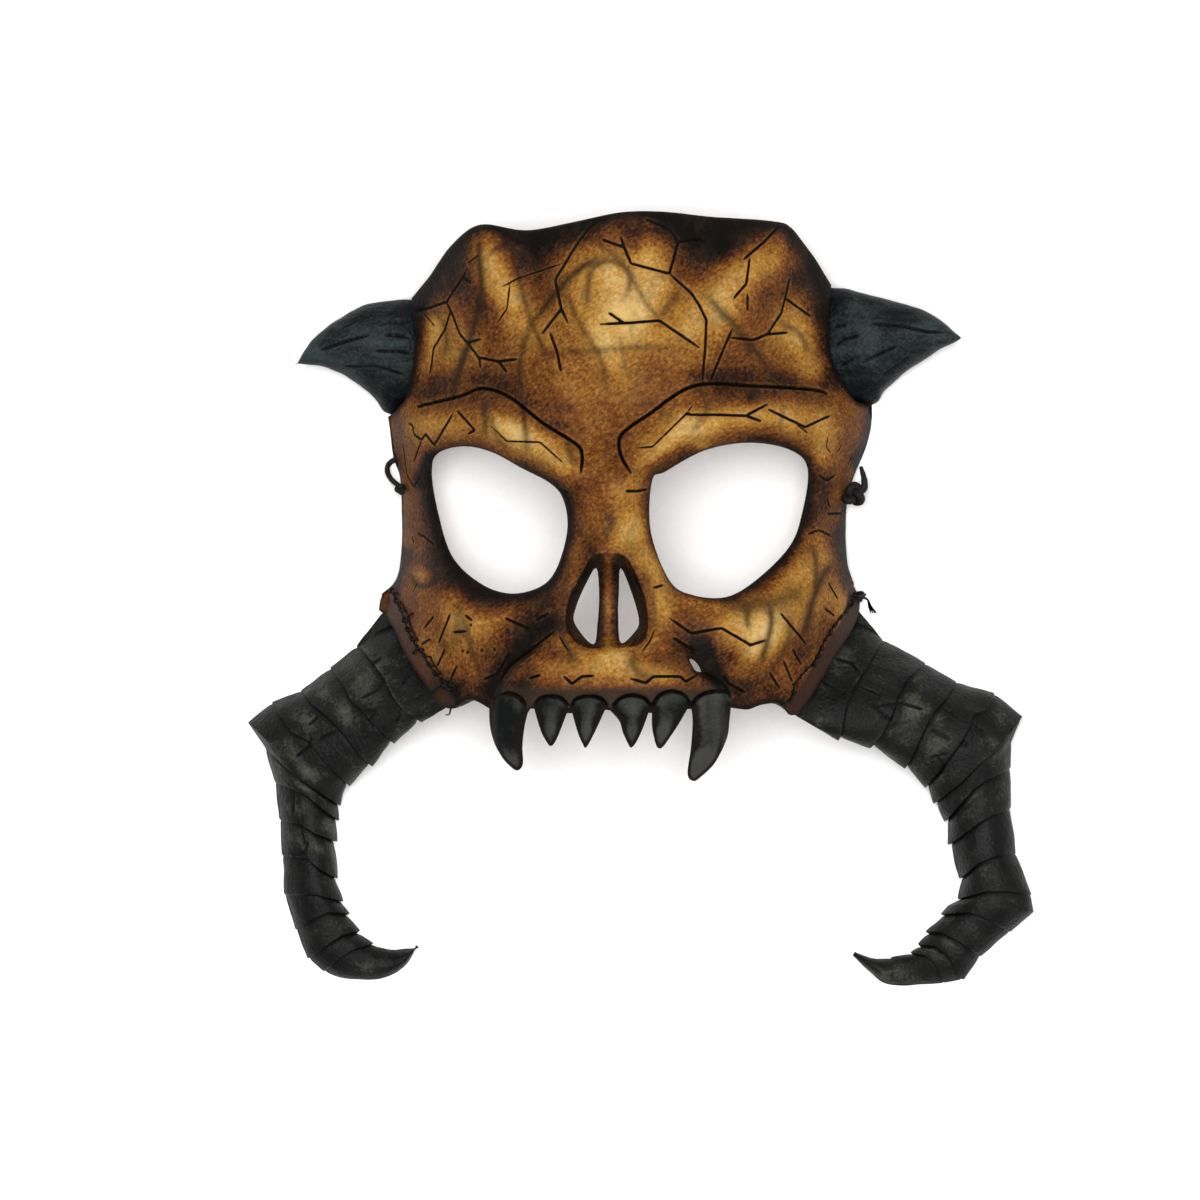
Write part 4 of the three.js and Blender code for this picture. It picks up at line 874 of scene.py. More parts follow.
def blurred_width(table):
    """The half widths of one side of the dome at close heights, smoothed."""
    ys = np.arange(-80, 140, 0.5)
    widths = np.interp(ys, *np.transpose(table))
    offsets = np.arange(-3 * WIDTH_BLUR, 3 * WIDTH_BLUR + 0.5, 0.5)
    weights = bell(offsets, WIDTH_BLUR)
    padded = np.pad(widths, len(offsets) // 2, mode="edge")
    return ys, np.convolve(padded, weights / weights.sum(), mode="valid")


WIDTHS = {"left": blurred_width(LEFT_WIDTH), "right": blurred_width(RIGHT_WIDTH)}


def half_width(across, y):
    """The dome's half width at each height, on the side that a spot lies."""
    return np.where(across < 0, np.interp(y, *WIDTHS["left"]), np.interp(y, *WIDTHS["right"]))


def place(x, y, h):
    """Points as seen from the front, at their heights, moved to the part's frame."""
    east = x / math.cos(SIGHT_TILT) + h * math.tan(SIGHT_TILT) - CENTRE_X
    return np.stack([east, y - CENTRE_Y, h + 0 * x], axis=-1)


def unroll(spots):
    """Spots as seen, laid out flat: the distance round the dome from the nose line, and y."""
    spots = np.asarray(spots, float)
    w = half_width(spots[:, 0], spots[:, 1])
    across = w * np.arcsin(np.clip(spots[:, 0] / w, -1, 1))
    return np.stack([across, spots[:, 1]], axis=1)


def roll_up(flat):
    """Flat spots back as they are seen."""
    w = half_width(flat[:, 0], flat[:, 1])
    return np.stack([w * np.sin(flat[:, 0] / w), flat[:, 1]], axis=1)


def dome(flat, raised=0):
    """The plain dome over flat spots, raised by some height."""
    across, y = flat[:, 0], flat[:, 1]
    w = half_width(across, y)
    h = DOME_FOOT + (DOME_TOP - DOME_FOOT) * np.cos(across / w)
    h -= CROWN_DROP * (np.maximum(0, y - CROWN_START) / (CROWN_END - CROWN_START)) ** 2
    h -= TEETH_DROP * (np.maximum(0, TEETH_START - y) / (TEETH_START - TEETH_END)) ** 2
    return place(w * np.sin(across / w), y, h + raised)


def dome_normal(flat):
    """The outward directions of the plain dome at flat spots."""
    step = 0.5
    east = dome(flat + [step, 0]) - dome(flat - [step, 0])
    north = dome(flat + [0, step]) - dome(flat - [0, step])
    normal = np.cross(east, north)
    return normal / np.linalg.norm(normal, axis=1)[:, None]


def upper_jaw(seen):
    """1 on the upper jaw between its two folds, and 0 on the cheeks."""
    x, y = seen[:, 0], seen[:, 1]
    past_left = rise(0, FOLD_WIDTH, x - np.interp(y, *np.transpose(LEFT_FOLD)))
    past_right = rise(0, FOLD_WIDTH, np.interp(y, *np.transpose(RIGHT_FOLD)) - x)
    return past_left * past_right


EYES = [smooth_line(eye, 3.6, closed=True) for eye in (LEFT_EYE, RIGHT_EYE)]


def nose_bridge(seen):
    """Where the nose's bridge runs on into the strip between the nostrils, from 0 to 1."""
    return bell(seen[:, 0] - 0.8, 2) * rise(3, 10, seen[:, 1])


def moulding(seen):
    """How far the moulding stands proud of the plain dome."""
    height = np.zeros(len(seen))
    for lift, spread, path in MOULDING:
        height += lift * bell(nearest_on(path, seen)[0], spread)
    for eye in EYES:
        away = nearest_on(closed_loop(eye), seen)[0]
        away[is_inside(eye, seen)] = 0
        height -= EYE_ROLL_DEPTH * np.clip(1 - away / EYE_ROLL_WIDTH, 0, 1) ** 2
    height += FOLD_STEP * upper_jaw(seen) * (1 - rise(*FOLD_FADE, seen[:, 1]))
    away = nearest_on(closed_loop(NOSE_FLOOR), seen)[0]
    sunk = rise(0, 3, away) * is_inside(np.array(NOSE_FLOOR), seen)
    height -= NOSE_FLOOR_DEPTH * sunk * (1 - nose_bridge(seen))
    return height


def under(seen, depth):
    """Points a depth under the face's outer skin, at the spots seen."""
    seen = np.atleast_2d(np.asarray(seen, float))
    flat = unroll(seen)
    return dome(flat, moulding(seen)) - np.asarray(depth).reshape(-1, 1) * dome_normal(flat)


# Meshes


def make_piece(name, points, faces, materials, values=None, face_materials=None, sharp=40):
    """A mesh object from points in millimetres, with its materials and named values at its points."""
    mesh = bpy.data.meshes.new(name)
    points = np.array(points, float)
    points[:, 2] = np.maximum(points[:, 2], 0)
    mesh.from_pydata((points * MM).tolist(), [], [tuple(map(int, face)) for face in faces])
    for key, data in (values or {}).items():
        attribute = mesh.attributes.new(key, "FLOAT", "POINT")
        attribute.data.foreach_set("value", np.asarray(data, np.float32))
    for material in materials:
        mesh.materials.append(material)
    if face_materials is not None:
        mesh.polygons.foreach_set("material_index", np.asarray(face_materials, np.int32))
    mesh.polygons.foreach_set("use_smooth", np.ones(len(mesh.polygons), bool))
    mesh.set_sharp_from_angle(angle=math.radians(sharp))
    mesh.validate()
    mesh.update()
    piece = bpy.data.objects.new(name, mesh)
    bpy.context.scene.collection.objects.link(piece)
    return piece


def stands_for(piece, node):
    """The piece rides on the mask and shows in place of its CAD node."""
    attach(piece, "root")
    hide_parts(node)
    return piece


def grid_faces(rows, columns, start=0):
    """The quads of a grid of points, row after row."""
    r, c = np.meshgrid(np.arange(rows - 1), np.arange(columns - 1), indexing="ij")
    corner = (start + r * columns + c).ravel()
    return np.stack([corner, corner + 1, corner + 1 + columns, corner + columns], axis=1)


def shell_faces(rows, columns):
    """The quads of a closed shell between two grids of points, the outer one first."""
    sheet = rows * columns
    inner = grid_faces(rows, columns, sheet)[:, ::-1]
    top = np.arange(columns)
    right = np.arange(1, rows) * columns + columns - 1
    bottom = (rows - 1) * columns + np.arange(columns - 2, -1, -1)
    left = np.arange(rows - 2, 0, -1) * columns
    rim = np.concatenate([top, right, bottom, left])
    after = np.roll(rim, -1)
    wall = np.stack([rim + sheet, after + sheet, after, rim], axis=1)
    return np.concatenate([grid_faces(rows, columns), inner, wall])


def tube(path, radii, sides):
    """Points and faces of a closed tube along a path, with one radius, or one for each point and side."""
    path = np.asarray(path, float)
    forward = np.gradient(path, axis=0)
    forward /= np.linalg.norm(forward, axis=1)[:, None]
    side = np.cross(forward[0], [0.3, 0.2, 1.0])
    rings = []
    angles = np.linspace(0, 2 * math.pi, sides, endpoint=False)
    radii = np.broadcast_to(np.asarray(radii, float), (len(path), sides))
    for i, (centre, way) in enumerate(zip(path, forward)):
        side = side - way * (side @ way)
        side /= np.linalg.norm(side)
        up = np.cross(way, side)
        ring = np.cos(angles)[:, None] * side + np.sin(angles)[:, None] * up
        rings.append(centre + ring * radii[i][:, None])
    points = np.concatenate(rings)
    faces = []
    for i in range(len(path) - 1):
        for k in range(sides):
            a = i * sides + k
            b = i * sides + (k + 1) % sides
            faces.append((a, b, b + sides, a + sides))
    faces.append(tuple(range(sides))[::-1])
    faces.append(tuple(range(len(points) - sides, len(points))))
    return points, faces


def merged(parts):
    """Several lots of points and faces as one."""
    points = []
    faces = []
    for part_points, part_faces in parts:
        start = sum(len(p) for p in points)
        points.append(part_points)
        faces.extend(tuple(start + i for i in face) for face in part_faces)
    return np.concatenate(points), faces


# Settings


def colour_property(name, description, code):
    """A colour setting, from an sRGB hex value."""
    options = {"subtype": "COLOR", "size": 4, "min": 0, "max": 1}
    return FloatVectorProperty(name=name, description=description, default=linear(code), **options)


def size_property(name, description, millimetres):
    """A length setting, given in millimetres."""
    options = {"min": 0, "unit": "LENGTH", "precision": 5}
    return FloatProperty(name=name, description=description, default=millimetres * MM, **options)


class FaceSettings(PropertyGroup):
    """The tanned leather of the face."""

    thickness: size_property("Leather", "Thickness of the leather of the face", FACE_LEATHER)
    edge: size_property("Edge", "Radius of the burnished edge", 0.9)
    spacing: size_property("Mesh", "Distance between the points of the face's mesh", 0.85)
    crack_depth: size_property("Crack depth", "Depth of a carved crack", 0.55)
    crack_width: size_property("Crack width", "Half the width of a carved crack", 0.38)
    line_depth: size_property("Brow line depth", "Depth of the tooled lines over the brows", 1.2)
    pebble: size_property("Grain", "Size of the pebbles in the leather's grain", 0.9)
    # Black, umber, tan, honey and gold are the stops of the face's tone, so besides the dye they also
    # give its painted shade at the dark end and its painted highlights at the light end.
    gold: colour_property("Gold", "Leather where the dye is rubbed back most", "#BD9C60")
    honey: colour_property("Honey", "Leather where the dye is thin", "#976B2B")
    tan: colour_property("Tan", "Leather with one coat of dye", "#663A15")
    umber: colour_property("Umber", "Leather in the hollows", "#2B160B")
    black: colour_property("Black", "Airbrushed edges and carved lines", "#0B0604")
    strip: colour_property("Seam strip", "The strips along the two seams", "#2F1E18")
    gum: colour_property("Gum", "The gum over the teeth", "#241F1B")
    tooth: colour_property("Tooth", "The dyed teeth, where they are worn", "#363732")
    flesh: colour_property("Flesh side", "The undyed inside of the leather", "#8C6845")


class HornSettings(PropertyGroup):
    """The black leather of the horns and tusks."""

    thickness: size_property("Leather", "Thickness of the leather of the horns and tusks", 2.6)
    ridge_step: size_property("Ridge step", "How far a tusk steps in after each ridge", 1.1)
    spacing: size_property("Mesh", "Distance between the rows of points", 0.42)
    # Each dark colour also gives the painted shade in the creases and each light one the painted
    # highlight along the crests.
    tusk_dark: colour_property("Tusk dark", "The dyed tusks in the creases", "#070807")
    tusk_middle: colour_property("Tusk", "The dyed tusks", "#141512")
    tusk_light: colour_property("Tusk light", "The tusks where they are dry-brushed", "#4C4C44")
    horn_dark: colour_property("Horn dark", "The dyed horns in the grooves", "#040607")
    horn_middle: colour_property("Horn", "The dyed horns", "#0C1113")
    horn_light: colour_property("Horn light", "The horns where they are dry-brushed", "#333D3D")


class CordSettings(PropertyGroup):
    """The head cord and the sewing thread."""

    cord: size_property("Cord", "Diameter of the head cord", 2.2)
    thread: size_property("Thread", "Diameter of the sewing thread", 0.9)
    cord_steps: IntProperty(
        name="Cord rings", description="Rings in the cord's mesh", default=620, min=60
    )
    black: colour_property("Black", "The cord and the thread", "#0A0908")


class StageSettings(PropertyGroup):
    """The camera and the light."""

    distance: FloatProperty(name="Distance", description="Camera to mask", default=5, unit="LENGTH")
    seen_width: size_property("Seen width", "Width of the picture at the mask", 348)
    key: FloatProperty(
        name="Key light", description="Power of the large soft lamp", default=41, unit="POWER"
    )
    fill: FloatProperty(
        name="Fill light", description="Power of the second lamp", default=9, unit="POWER"
    )
    sky: FloatProperty(name="Sky", description="Strength of the white surroundings", default=0.52)
    paper: colour_property("Paper", "The floor", "#F6F6F5")


class MaskSettings(PropertyGroup):
    """All the settings of the mask."""

    face: PointerProperty(type=FaceSettings)
    horns: PointerProperty(type=HornSettings)
    cords: PointerProperty(type=CordSettings)
    stage: PointerProperty(type=StageSettings)


# Camera, cord and knots


# The point at the middle of the picture, and the camera's sensor
AIM = (-9.36, -0.547, 20)
SENSOR = 36

# How many of its own units a wave texture takes to repeat
WAVE_LENGTH = 6.28


class MASK_OT_camera(Operator):
    """Adds the camera that looks down on the face."""

    bl_idname = "leather_mask.camera"
    bl_label = "Camera"

    def execute(self, context):
        stage = context.scene.leather_mask.stage
        aim = Vector(AIM) * MM
        back = Vector((math.sin(SIGHT_TILT), 0, math.cos(SIGHT_TILT)))
        data = bpy.data.cameras.new("camera")
        data.sensor_width = SENSOR
        data.lens = SENSOR * stage.distance / stage.seen_width
        data.clip_end = 20
        camera = bpy.data.objects.new("camera", data)
        camera.location = aim + back * stage.distance
        camera.rotation_euler = (0, SIGHT_TILT, 0)
        context.scene.collection.objects.link(camera)
        context.scene.camera = camera
        return {"FINISHED"}


def braided_cord_material(cords):
    """Braided polyester cord: round black strands that cross, with a soft sheen on each crossing."""
    material, tree = new_material("braided polyester cord")
    strand = add(tree, "Attribute", {"attribute_name": "strand"}).outputs["Fac"]
    # The lighter colour on the raised crossings is a painted sheen.
    stops = [(0.15, cords.black), (0.95, linear("#1C1A19"))]
    colour = add(tree, "ValToRGB", {"stops": stops}, {"Fac": strand}).outputs["Color"]
    place_in = add(tree, "TexCoord").outputs["Object"]
    # The real fibres are about 0.02 mm thick, drawn coarser so that they show
    fibre = add(tree, "TexNoise", inputs={"Vector": place_in, "Scale": per_metre(0.25), "Detail": 2})
    relief = {"Height": fibre.outputs["Fac"], "Strength": 0.25, "Distance": 0.00008}
    bump = add(tree, "Bump", inputs=relief).outputs["Normal"]
    inputs = {"Base Color": colour, "Roughness": 0.62, "Specular IOR Level": 0.14, "Normal": bump}
    shader = add(tree, "BsdfPrincipled", inputs=inputs)
    add(tree, "OutputMaterial", inputs={"Surface": shader.outputs["BSDF"]})
    return material


def waxed_thread_material(cords):
    """Waxed linen thread: twisted strands pulled through wax, so it is black with small soft glints."""
    material, tree = new_material("waxed linen thread")
    place_in = add(tree, "TexCoord").outputs["Object"]
    inputs = {"Vector": place_in, "Scale": per_metre(0.5) / WAVE_LENGTH, "Distortion": 2.0}
    twist = add(tree, "TexWave", {"bands_direction": "DIAGONAL"}, inputs).outputs["Fac"]
    # The lighter bands of the twist are painted glints.
    stops = [(0.2, cords.black), (1.0, linear("#120F0D"))]
    colour = add(tree, "ValToRGB", {"stops": stops}, {"Fac": twist}).outputs["Color"]
    relief = {"Height": twist, "Strength": 0.4, "Distance": 0.0001}
    bump = add(tree, "Bump", inputs=relief).outputs["Normal"]
    inputs = {"Base Color": colour, "Roughness": 0.6, "Specular IOR Level": 0.1, "Normal": bump}
    shader = add(tree, "BsdfPrincipled", inputs=inputs)
    add(tree, "OutputMaterial", inputs={"Surface": shader.outputs["BSDF"]})
    return material


def braided_tube(path, diameter, sides, end=1.0):
    """A cord with the crossing strands of a braid in its surface, and the height of each strand. It may
    taper to a share of its diameter at its end."""
    run = lengths_along(path)
    angle = np.linspace(0, 2 * math.pi, sides, endpoint=False)
    along = run[:, None] / (1.5 * diameter) * 2 * math.pi
    strand = 0.5 * (np.abs(np.sin(2 * angle + along)) + np.abs(np.sin(2 * angle - along)))
    radii = diameter / 2 * (0.93 + 0.1 * strand) * np.linspace(1, end, len(path))[:, None]
    for tip in (0, -1):
        radii[tip] = radii[tip].mean() * 0.9
    points, faces = tube(path, radii, sides)
    return points, faces, strand.ravel()


def overhand_knot(centre, size, diameter, turn):
    """A cord drawn up into a small tight knot."""
    t = np.linspace(0.15, 2 * math.pi - 0.15, 90)
    loop = [np.sin(t) + 2 * np.sin(2 * t), np.cos(t) - 2 * np.cos(2 * t), -1.3 * np.sin(3 * t)]
    loop = np.stack(loop, axis=1)
    spin = np.array([[math.cos(turn), -math.sin(turn)], [math.sin(turn), math.cos(turn)]])
    loop[:, :2] = loop[:, :2] @ spin.T
    return braided_tube(np.asarray(centre) + loop * size / 3, diameter, 10)


def cord_path(steps):
    """The cord's way from the left hole to the right one, as points close together."""
    left = [under(LEFT_HOLE, depth)[0] for depth in CORD_IN_HOLE]
    right = [under(RIGHT_HOLE, depth)[0] for depth in reversed(CORD_IN_HOLE)]
    route = [place(*np.array(spot, float)) for spot in CORD_ROUTE]
    line = curve_through([*left, *route, *right], steps=20)
    return resample(line, np.linspace(0, 1, steps))


def knot_piece(name, node, lots, material):
    """A knot and its end of cord as one piece."""
    points, faces = merged([(points, faces) for points, faces, _ in lots])
    values = {"strand": np.concatenate([strand for _, _, strand in lots])}
    return stands_for(make_piece(name, points, faces, [material], values), node)


class MASK_OT_cord(Operator):
    """Adds the head cord, which lies inside the mask between its two holes, and its two knots."""

    bl_idname = "leather_mask.cord"
    bl_label = "Head cord"

    def execute(self, context):
        cords = context.scene.leather_mask.cords
        material = braided_cord_material(cords)
        diameter = cords.cord / MM
        loop = smooth_line([under(*spot)[0] for spot in LEFT_LOOP], 0.5)
        lots = [
            overhand_knot(under((-58.3, 32.4), -1.6)[0], 1.1, diameter * 0.65, 0.4),
            braided_tube(loop, diameter * 0.72, 10),
        ]
        left = knot_piece("knot_left", "tie_knot_left", lots, material)
        tail = smooth_line([under(*spot)[0] for spot in RIGHT_TAIL], 0.5)
        lots = [
            overhand_knot(under((69.2, 31.2), -2.9)[0], 2.7, diameter * 1.1, 0.9),
            braided_tube(tail, diameter * 1.25, 10, end=0.4),
        ]
        right = knot_piece("knot_right", "tie_knot_right", lots, material)

        path = cord_path(cords.cord_steps)
        points, faces, strand = braided_tube(path, diameter, 16)
        cord = make_piece("head_cord_braid", points, faces, [material], {"strand": strand})
        stands_for(cord, "head_cord")
        return {"FINISHED"}


# Face


def tanned_leather_material(face):
    """Vegetable-tanned leather, wet-moulded, airbrushed with dye, antiqued and waxed: honey gold on the
    raised parts and umber in the hollows, with a fine pebbled grain and a satin wax shine. Its tone also
    carries painted shade and painted highlights, and the paler band beside the carved lines is partly a
    painted highlight on their lips."""
    material, tree = new_material("vegetable-tanned leather, moulded and antiqued")
    keys = ("tone", "crack", "smoke", "strip", "gum", "tooth", "rim")
    value = {key: add(tree, "Attribute", {"attribute_name": key}).outputs["Fac"] for key in keys}
    place_in = add(tree, "TexCoord").outputs["Object"]
    inputs = {"Vector": place_in, "Rotation": (0, 0, math.radians(35)), "Scale": (2, 0.8, 1)}
    brushed = add(tree, "Mapping", {"vector_type": "TEXTURE"}, inputs).outputs["Vector"]
    # Clouds, blots, flecks and brush strokes. Real brush marks are about 0.3 mm wide, drawn coarser so
    # that they show
    layers = []
    for where, size, detail, rough in (
        (place_in, 16, 6, 0.6), (place_in, 6, 5, 0.62), (place_in, 1.3, 4, 0.5), (brushed, 0.75, 2, 0.7),
    ):
        inputs = {"Vector": where, "Scale": per_metre(size), "Detail": detail, "Roughness": rough}
        layers.append(add(tree, "TexNoise", inputs=inputs).outputs["Fac"])
    cloud, blot, fleck, strokes = layers
    # A paler band beside each carved line: wear, and a painted highlight on the raised lips of the cuts.
    inputs = {"Value": value["crack"], "From Min": 0.06, "From Max": 0.3, "To Max": 0.3}
    lip_wear_and_highlight = add(tree, "MapRange", {"interpolation_type": "SMOOTHSTEP"}, inputs).outputs["Result"]
    value["crack"] = crisp_line(tree, value["crack"], fleck)
    level = value["tone"]
    for layer, weight in zip(layers, (0.46, 0.42, 0.28, 0.46)):
        inputs = {0: layer, 1: weight, 2: level}
        level = add(tree, "Math", {"operation": "MULTIPLY_ADD"}, inputs).outputs[0]
    # Real pebbles are about 0.4 mm across, drawn coarser so that they show, with dye left in the pores
    inputs = {"Vector": place_in, "Scale": 1 / face.pebble, "Randomness": 1.0}
    pebbles = add(tree, "TexVoronoi", {"feature": "SMOOTH_F1"}, inputs).outputs["Distance"]
    inputs = {"Value": pebbles, "From Min": 0.25, "From Max": 0.7, "To Min": 0.81, "To Max": 0.93}
    pores = add(tree, "MapRange", inputs=inputs).outputs["Result"]
    even = add(tree, "Math", {"operation": "SUBTRACT"}, {0: level, 1: pores}).outputs[0]
    stops = [(0, face.black), (0.22, face.umber), (0.45, face.tan), (0.7, face.honey), (1, face.gold)]
    colour = add(tree, "ValToRGB", {"stops": stops}, {"Fac": even}).outputs["Color"]
    inputs = {"Value": blot, "From Min": 0.5, "From Max": 0.68, "To Min": 0, "To Max": 0.42}
    soot = add(tree, "MapRange", inputs=inputs).outputs["Result"]
    lit_and_worn_lip = add(tree, "Math", {"operation": "MULTIPLY", "use_clamp": True}, {0: lip_wear_and_highlight, 1: even})
    stops = [(0.3, linear("#0B0D0C")), (1, face.tooth)]
    worn_tooth = add(tree, "ValToRGB", {"stops": stops}, {"Fac": even}).outputs["Color"]
    for share, tint in (
        (soot, linear("#2A2014")),
        (lit_and_worn_lip.outputs[0], face.honey),
        (value["strip"], face.strip),
        (value["gum"], face.gum),
        (value["tooth"], worn_tooth),
        (value["smoke"], linear("#20150E")),
        (value["rim"], linear("#1E120B")),
        (value["crack"], face.black),
    ):
        inputs = {"Factor": share, 6: colour, 7: tint}
        colour = add(tree, "Mix", {"data_type": "RGBA"}, inputs).outputs[2]
    skin = add(tree, "Math", {"operation": "MULTIPLY_ADD"}, {0: strokes, 1: 0.7, 2: pebbles})
    relief = {"Height": skin.outputs[0], "Strength": 0.5, "Distance": 0.00032}
    bump = add(tree, "Bump", inputs=relief).outputs["Normal"]
    inputs = {"Value": cloud, "From Min": 0.3, "From Max": 0.7, "To Min": 0.52, "To Max": 0.68}
    shine = add(tree, "MapRange", inputs=inputs).outputs["Result"]
    inputs = {"Base Color": colour, "Roughness": shine, "Specular IOR Level": 0.07, "Normal": bump}
    shader = add(tree, "BsdfPrincipled", inputs=inputs)
    add(tree, "OutputMaterial", inputs={"Surface": shader.outputs["BSDF"]})
    return material


def flesh_side_material(face):
    """The flesh side of vegetable-tanned leather: short raised fibres, matt and slightly mottled."""
    material, tree = new_material("vegetable-tanned leather, flesh side")
    place_in = add(tree, "TexCoord").outputs["Object"]
    cloud = add(tree, "TexNoise", inputs={"Vector": place_in, "Scale": per_metre(9), "Detail": 6})
    # Real fibres are about 0.1 mm thick, drawn coarser so that they show
    nap = add(tree, "TexNoise", inputs={"Vector": place_in, "Scale": per_metre(0.5), "Detail": 3})
    stops = [(0.3, linear("#5E4128")), (0.6, face.flesh), (0.85, linear("#A9835A"))]
    colour = add(tree, "ValToRGB", {"stops": stops}, {"Fac": cloud.outputs["Fac"]}).outputs["Color"]
    relief = {"Height": nap.outputs["Fac"], "Strength": 0.6, "Distance": 0.0003}
    bump = add(tree, "Bump", inputs=relief).outputs["Normal"]
    inputs = {"Base Color": colour, "Roughness": 0.92, "Sheen Weight": 0.2, "Normal": bump}
    shader = add(tree, "BsdfPrincipled", inputs=inputs)
    add(tree, "OutputMaterial", inputs={"Surface": shader.outputs["BSDF"]})
    return material


def outline_loop(step):
    """The face's outline as it is seen, teeth and all."""
    runs = [CROWN, RIGHT_HORN_SEAT, RIGHT_RIM, RIGHT_STRIP, RIGHT_CHEEK]
    runs += [tooth[::-1] for tooth in TEETH[::-1]]
    runs += [LEFT_CHEEK, LEFT_STRIP, LEFT_RIM, LEFT_HORN_SEAT]
    loop = np.concatenate([smooth_line(run, step) for run in runs])
    apart = np.linalg.norm(loop - np.roll(loop, 1, axis=0), axis=1)
    return loop[apart > 0.1]


def tree_of(points):
    """Flat points in a search tree."""
    tree = kdtree.KDTree(len(points))
    for i, (x, y) in enumerate(points):
        tree.insert((x, y, 0), i)
    tree.balance()
    return tree


def distance_from(tree, spots):
    """How far each flat spot is from the nearest point in a tree."""
    return np.array([tree.find((x, y, 0))[2] for x, y in spots])


def offset_row(line, side, closed=False):
    """The line moved sideways."""
    if closed:
        way = np.roll(line, -1, axis=0) - np.roll(line, 1, axis=0)
    else:
        way = np.gradient(line, axis=0)
    way /= np.maximum(np.linalg.norm(way, axis=1)[:, None], 1e-9)
    return line + side * np.stack([-way[:, 1], way[:, 0]], axis=1)


class FacePattern:
    """The flat pattern of the face: its edges, its carved lines and the triangles between them."""

    EDGE_STEP = 0.8
    RINGS = (0.35, 0.85)
    CRACK_ROWS = (0, 0.32, -0.32, 0.7, -0.7)

    def __init__(self, spacing):
        loops = [outline_loop(self.EDGE_STEP)]
        for hole in (LEFT_EYE, RIGHT_EYE, LEFT_NOSTRIL, RIGHT_NOSTRIL, FOLD_GAP):
            loops.append(smooth_line(hole, self.EDGE_STEP, closed=True))
        self.loops = [unroll(loop) for loop in loops]
        self.edge_tree = tree_of(np.concatenate([self.fine_edge(loop) for loop in self.loops]))
        self.outer_tree = tree_of(self.fine_edge(self.loops[0]))
        self.hole_tree = tree_of(np.concatenate([self.fine_edge(loop) for loop in self.loops[1:]]))
        self.carved = [unroll(stepped_line(line, self.EDGE_STEP)) for line in CRACKS + FINE_CRACKS]
        self.carved += [unroll(smooth_line(line, self.EDGE_STEP)) for line in BROW_LINES + GUM_ARCS]
        self.carved.append(unroll(smooth_line(NOSE_FLOOR, self.EDGE_STEP, closed=True)))
        self.triangulate(spacing)

    @staticmethod
    def fine_edge(loop):
        """A loop as points about 0.2 mm apart, its first one again at its end."""
        closed = closed_loop(loop)
        count = int(lengths_along(closed)[-1] / 0.2)
        return resample(closed, np.linspace(0, 1, count))

    def is_leather(self, flat):
        """Whether each flat spot is inside the outline and outside the holes."""
        inside = is_inside(self.loops[0], flat)
        for hole in self.loops[1:]:
            inside &= ~is_inside(hole, flat)
        return inside

    def triangulate(self, spacing):
        """Fills the outline with small triangles, finer by edges and cracks."""
        kept = [np.concatenate(self.loops)]

        def take(spots, clear_of_edge, clear_of_rest):
            """Keeps the spots on the leather that lie clear of its edges and of those kept before."""
            spots = spots[self.is_leather(spots)]
            spots = spots[distance_from(self.edge_tree, spots) > clear_of_edge]
            if len(kept) > 1:
                rest = tree_of(np.concatenate(kept[1:]))
                spots = spots[distance_from(rest, spots) > clear_of_rest]
            kept.append(spots)

        for ring in self.RINGS:
            sides = [offset_row(loop, way * ring, closed=True) for loop in self.loops for way in (1, -1)]
            take(np.concatenate(sides), clear_of_edge=ring * 0.85, clear_of_rest=0.25)
        for side in self.CRACK_ROWS:
            rows = np.concatenate([offset_row(line, side) for line in self.carved])
            take(rows, clear_of_edge=0.6, clear_of_rest=0.22)
        low = self.loops[0].min(axis=0)
        high = self.loops[0].max(axis=0)
        ys = np.arange(low[1], high[1], spacing * math.sqrt(0.75))
        xs = np.arange(low[0], high[0], spacing)
        grid = [(x + (row % 2) * spacing / 2, y) for row, y in enumerate(ys) for x in xs]
        take(np.array(grid), clear_of_edge=0.9, clear_of_rest=spacing * 0.55)

        spots = np.concatenate(kept)
        edges = []
        start = 0
        for loop in self.loops:
            count = len(loop)
            edges += [(start + i, start + (i + 1) % count) for i in range(count)]
            start += count
        found = geometry.delaunay_2d_cdt([Vector(p) for p in spots], edges, [], 1, 1e-4)
        self.flat = np.array([tuple(p) for p in found[0]])
        faces = np.array([face for face in found[2] if len(face) == 3])
        middle = self.flat[faces].mean(axis=1)
        faces = faces[self.is_leather(middle)]
        used = np.unique(faces)
        renumber = np.zeros(len(self.flat), int)
        renumber[used] = np.arange(len(used))
        self.flat = self.flat[used]
        self.faces = renumber[faces]
        a, b, c = (self.flat[self.faces[:, k]] for k in range(3))
        turns = (b[:, 0] - a[:, 0]) * (c[:, 1] - a[:, 1]) - (b[:, 1] - a[:, 1]) * (c[:, 0] - a[:, 0])
        backwards = turns < 0
        self.faces[backwards] = self.faces[backwards][:, ::-1]

    def rim_edges(self):
        """The edges that only one triangle has, each as it runs round that triangle."""
        pairs = np.concatenate([self.faces[:, [0, 1]], self.faces[:, [1, 2]], self.faces[:, [2, 0]]])
        known = {tuple(pair) for pair in pairs}
        return np.array([pair for pair in known if (pair[1], pair[0]) not in known])


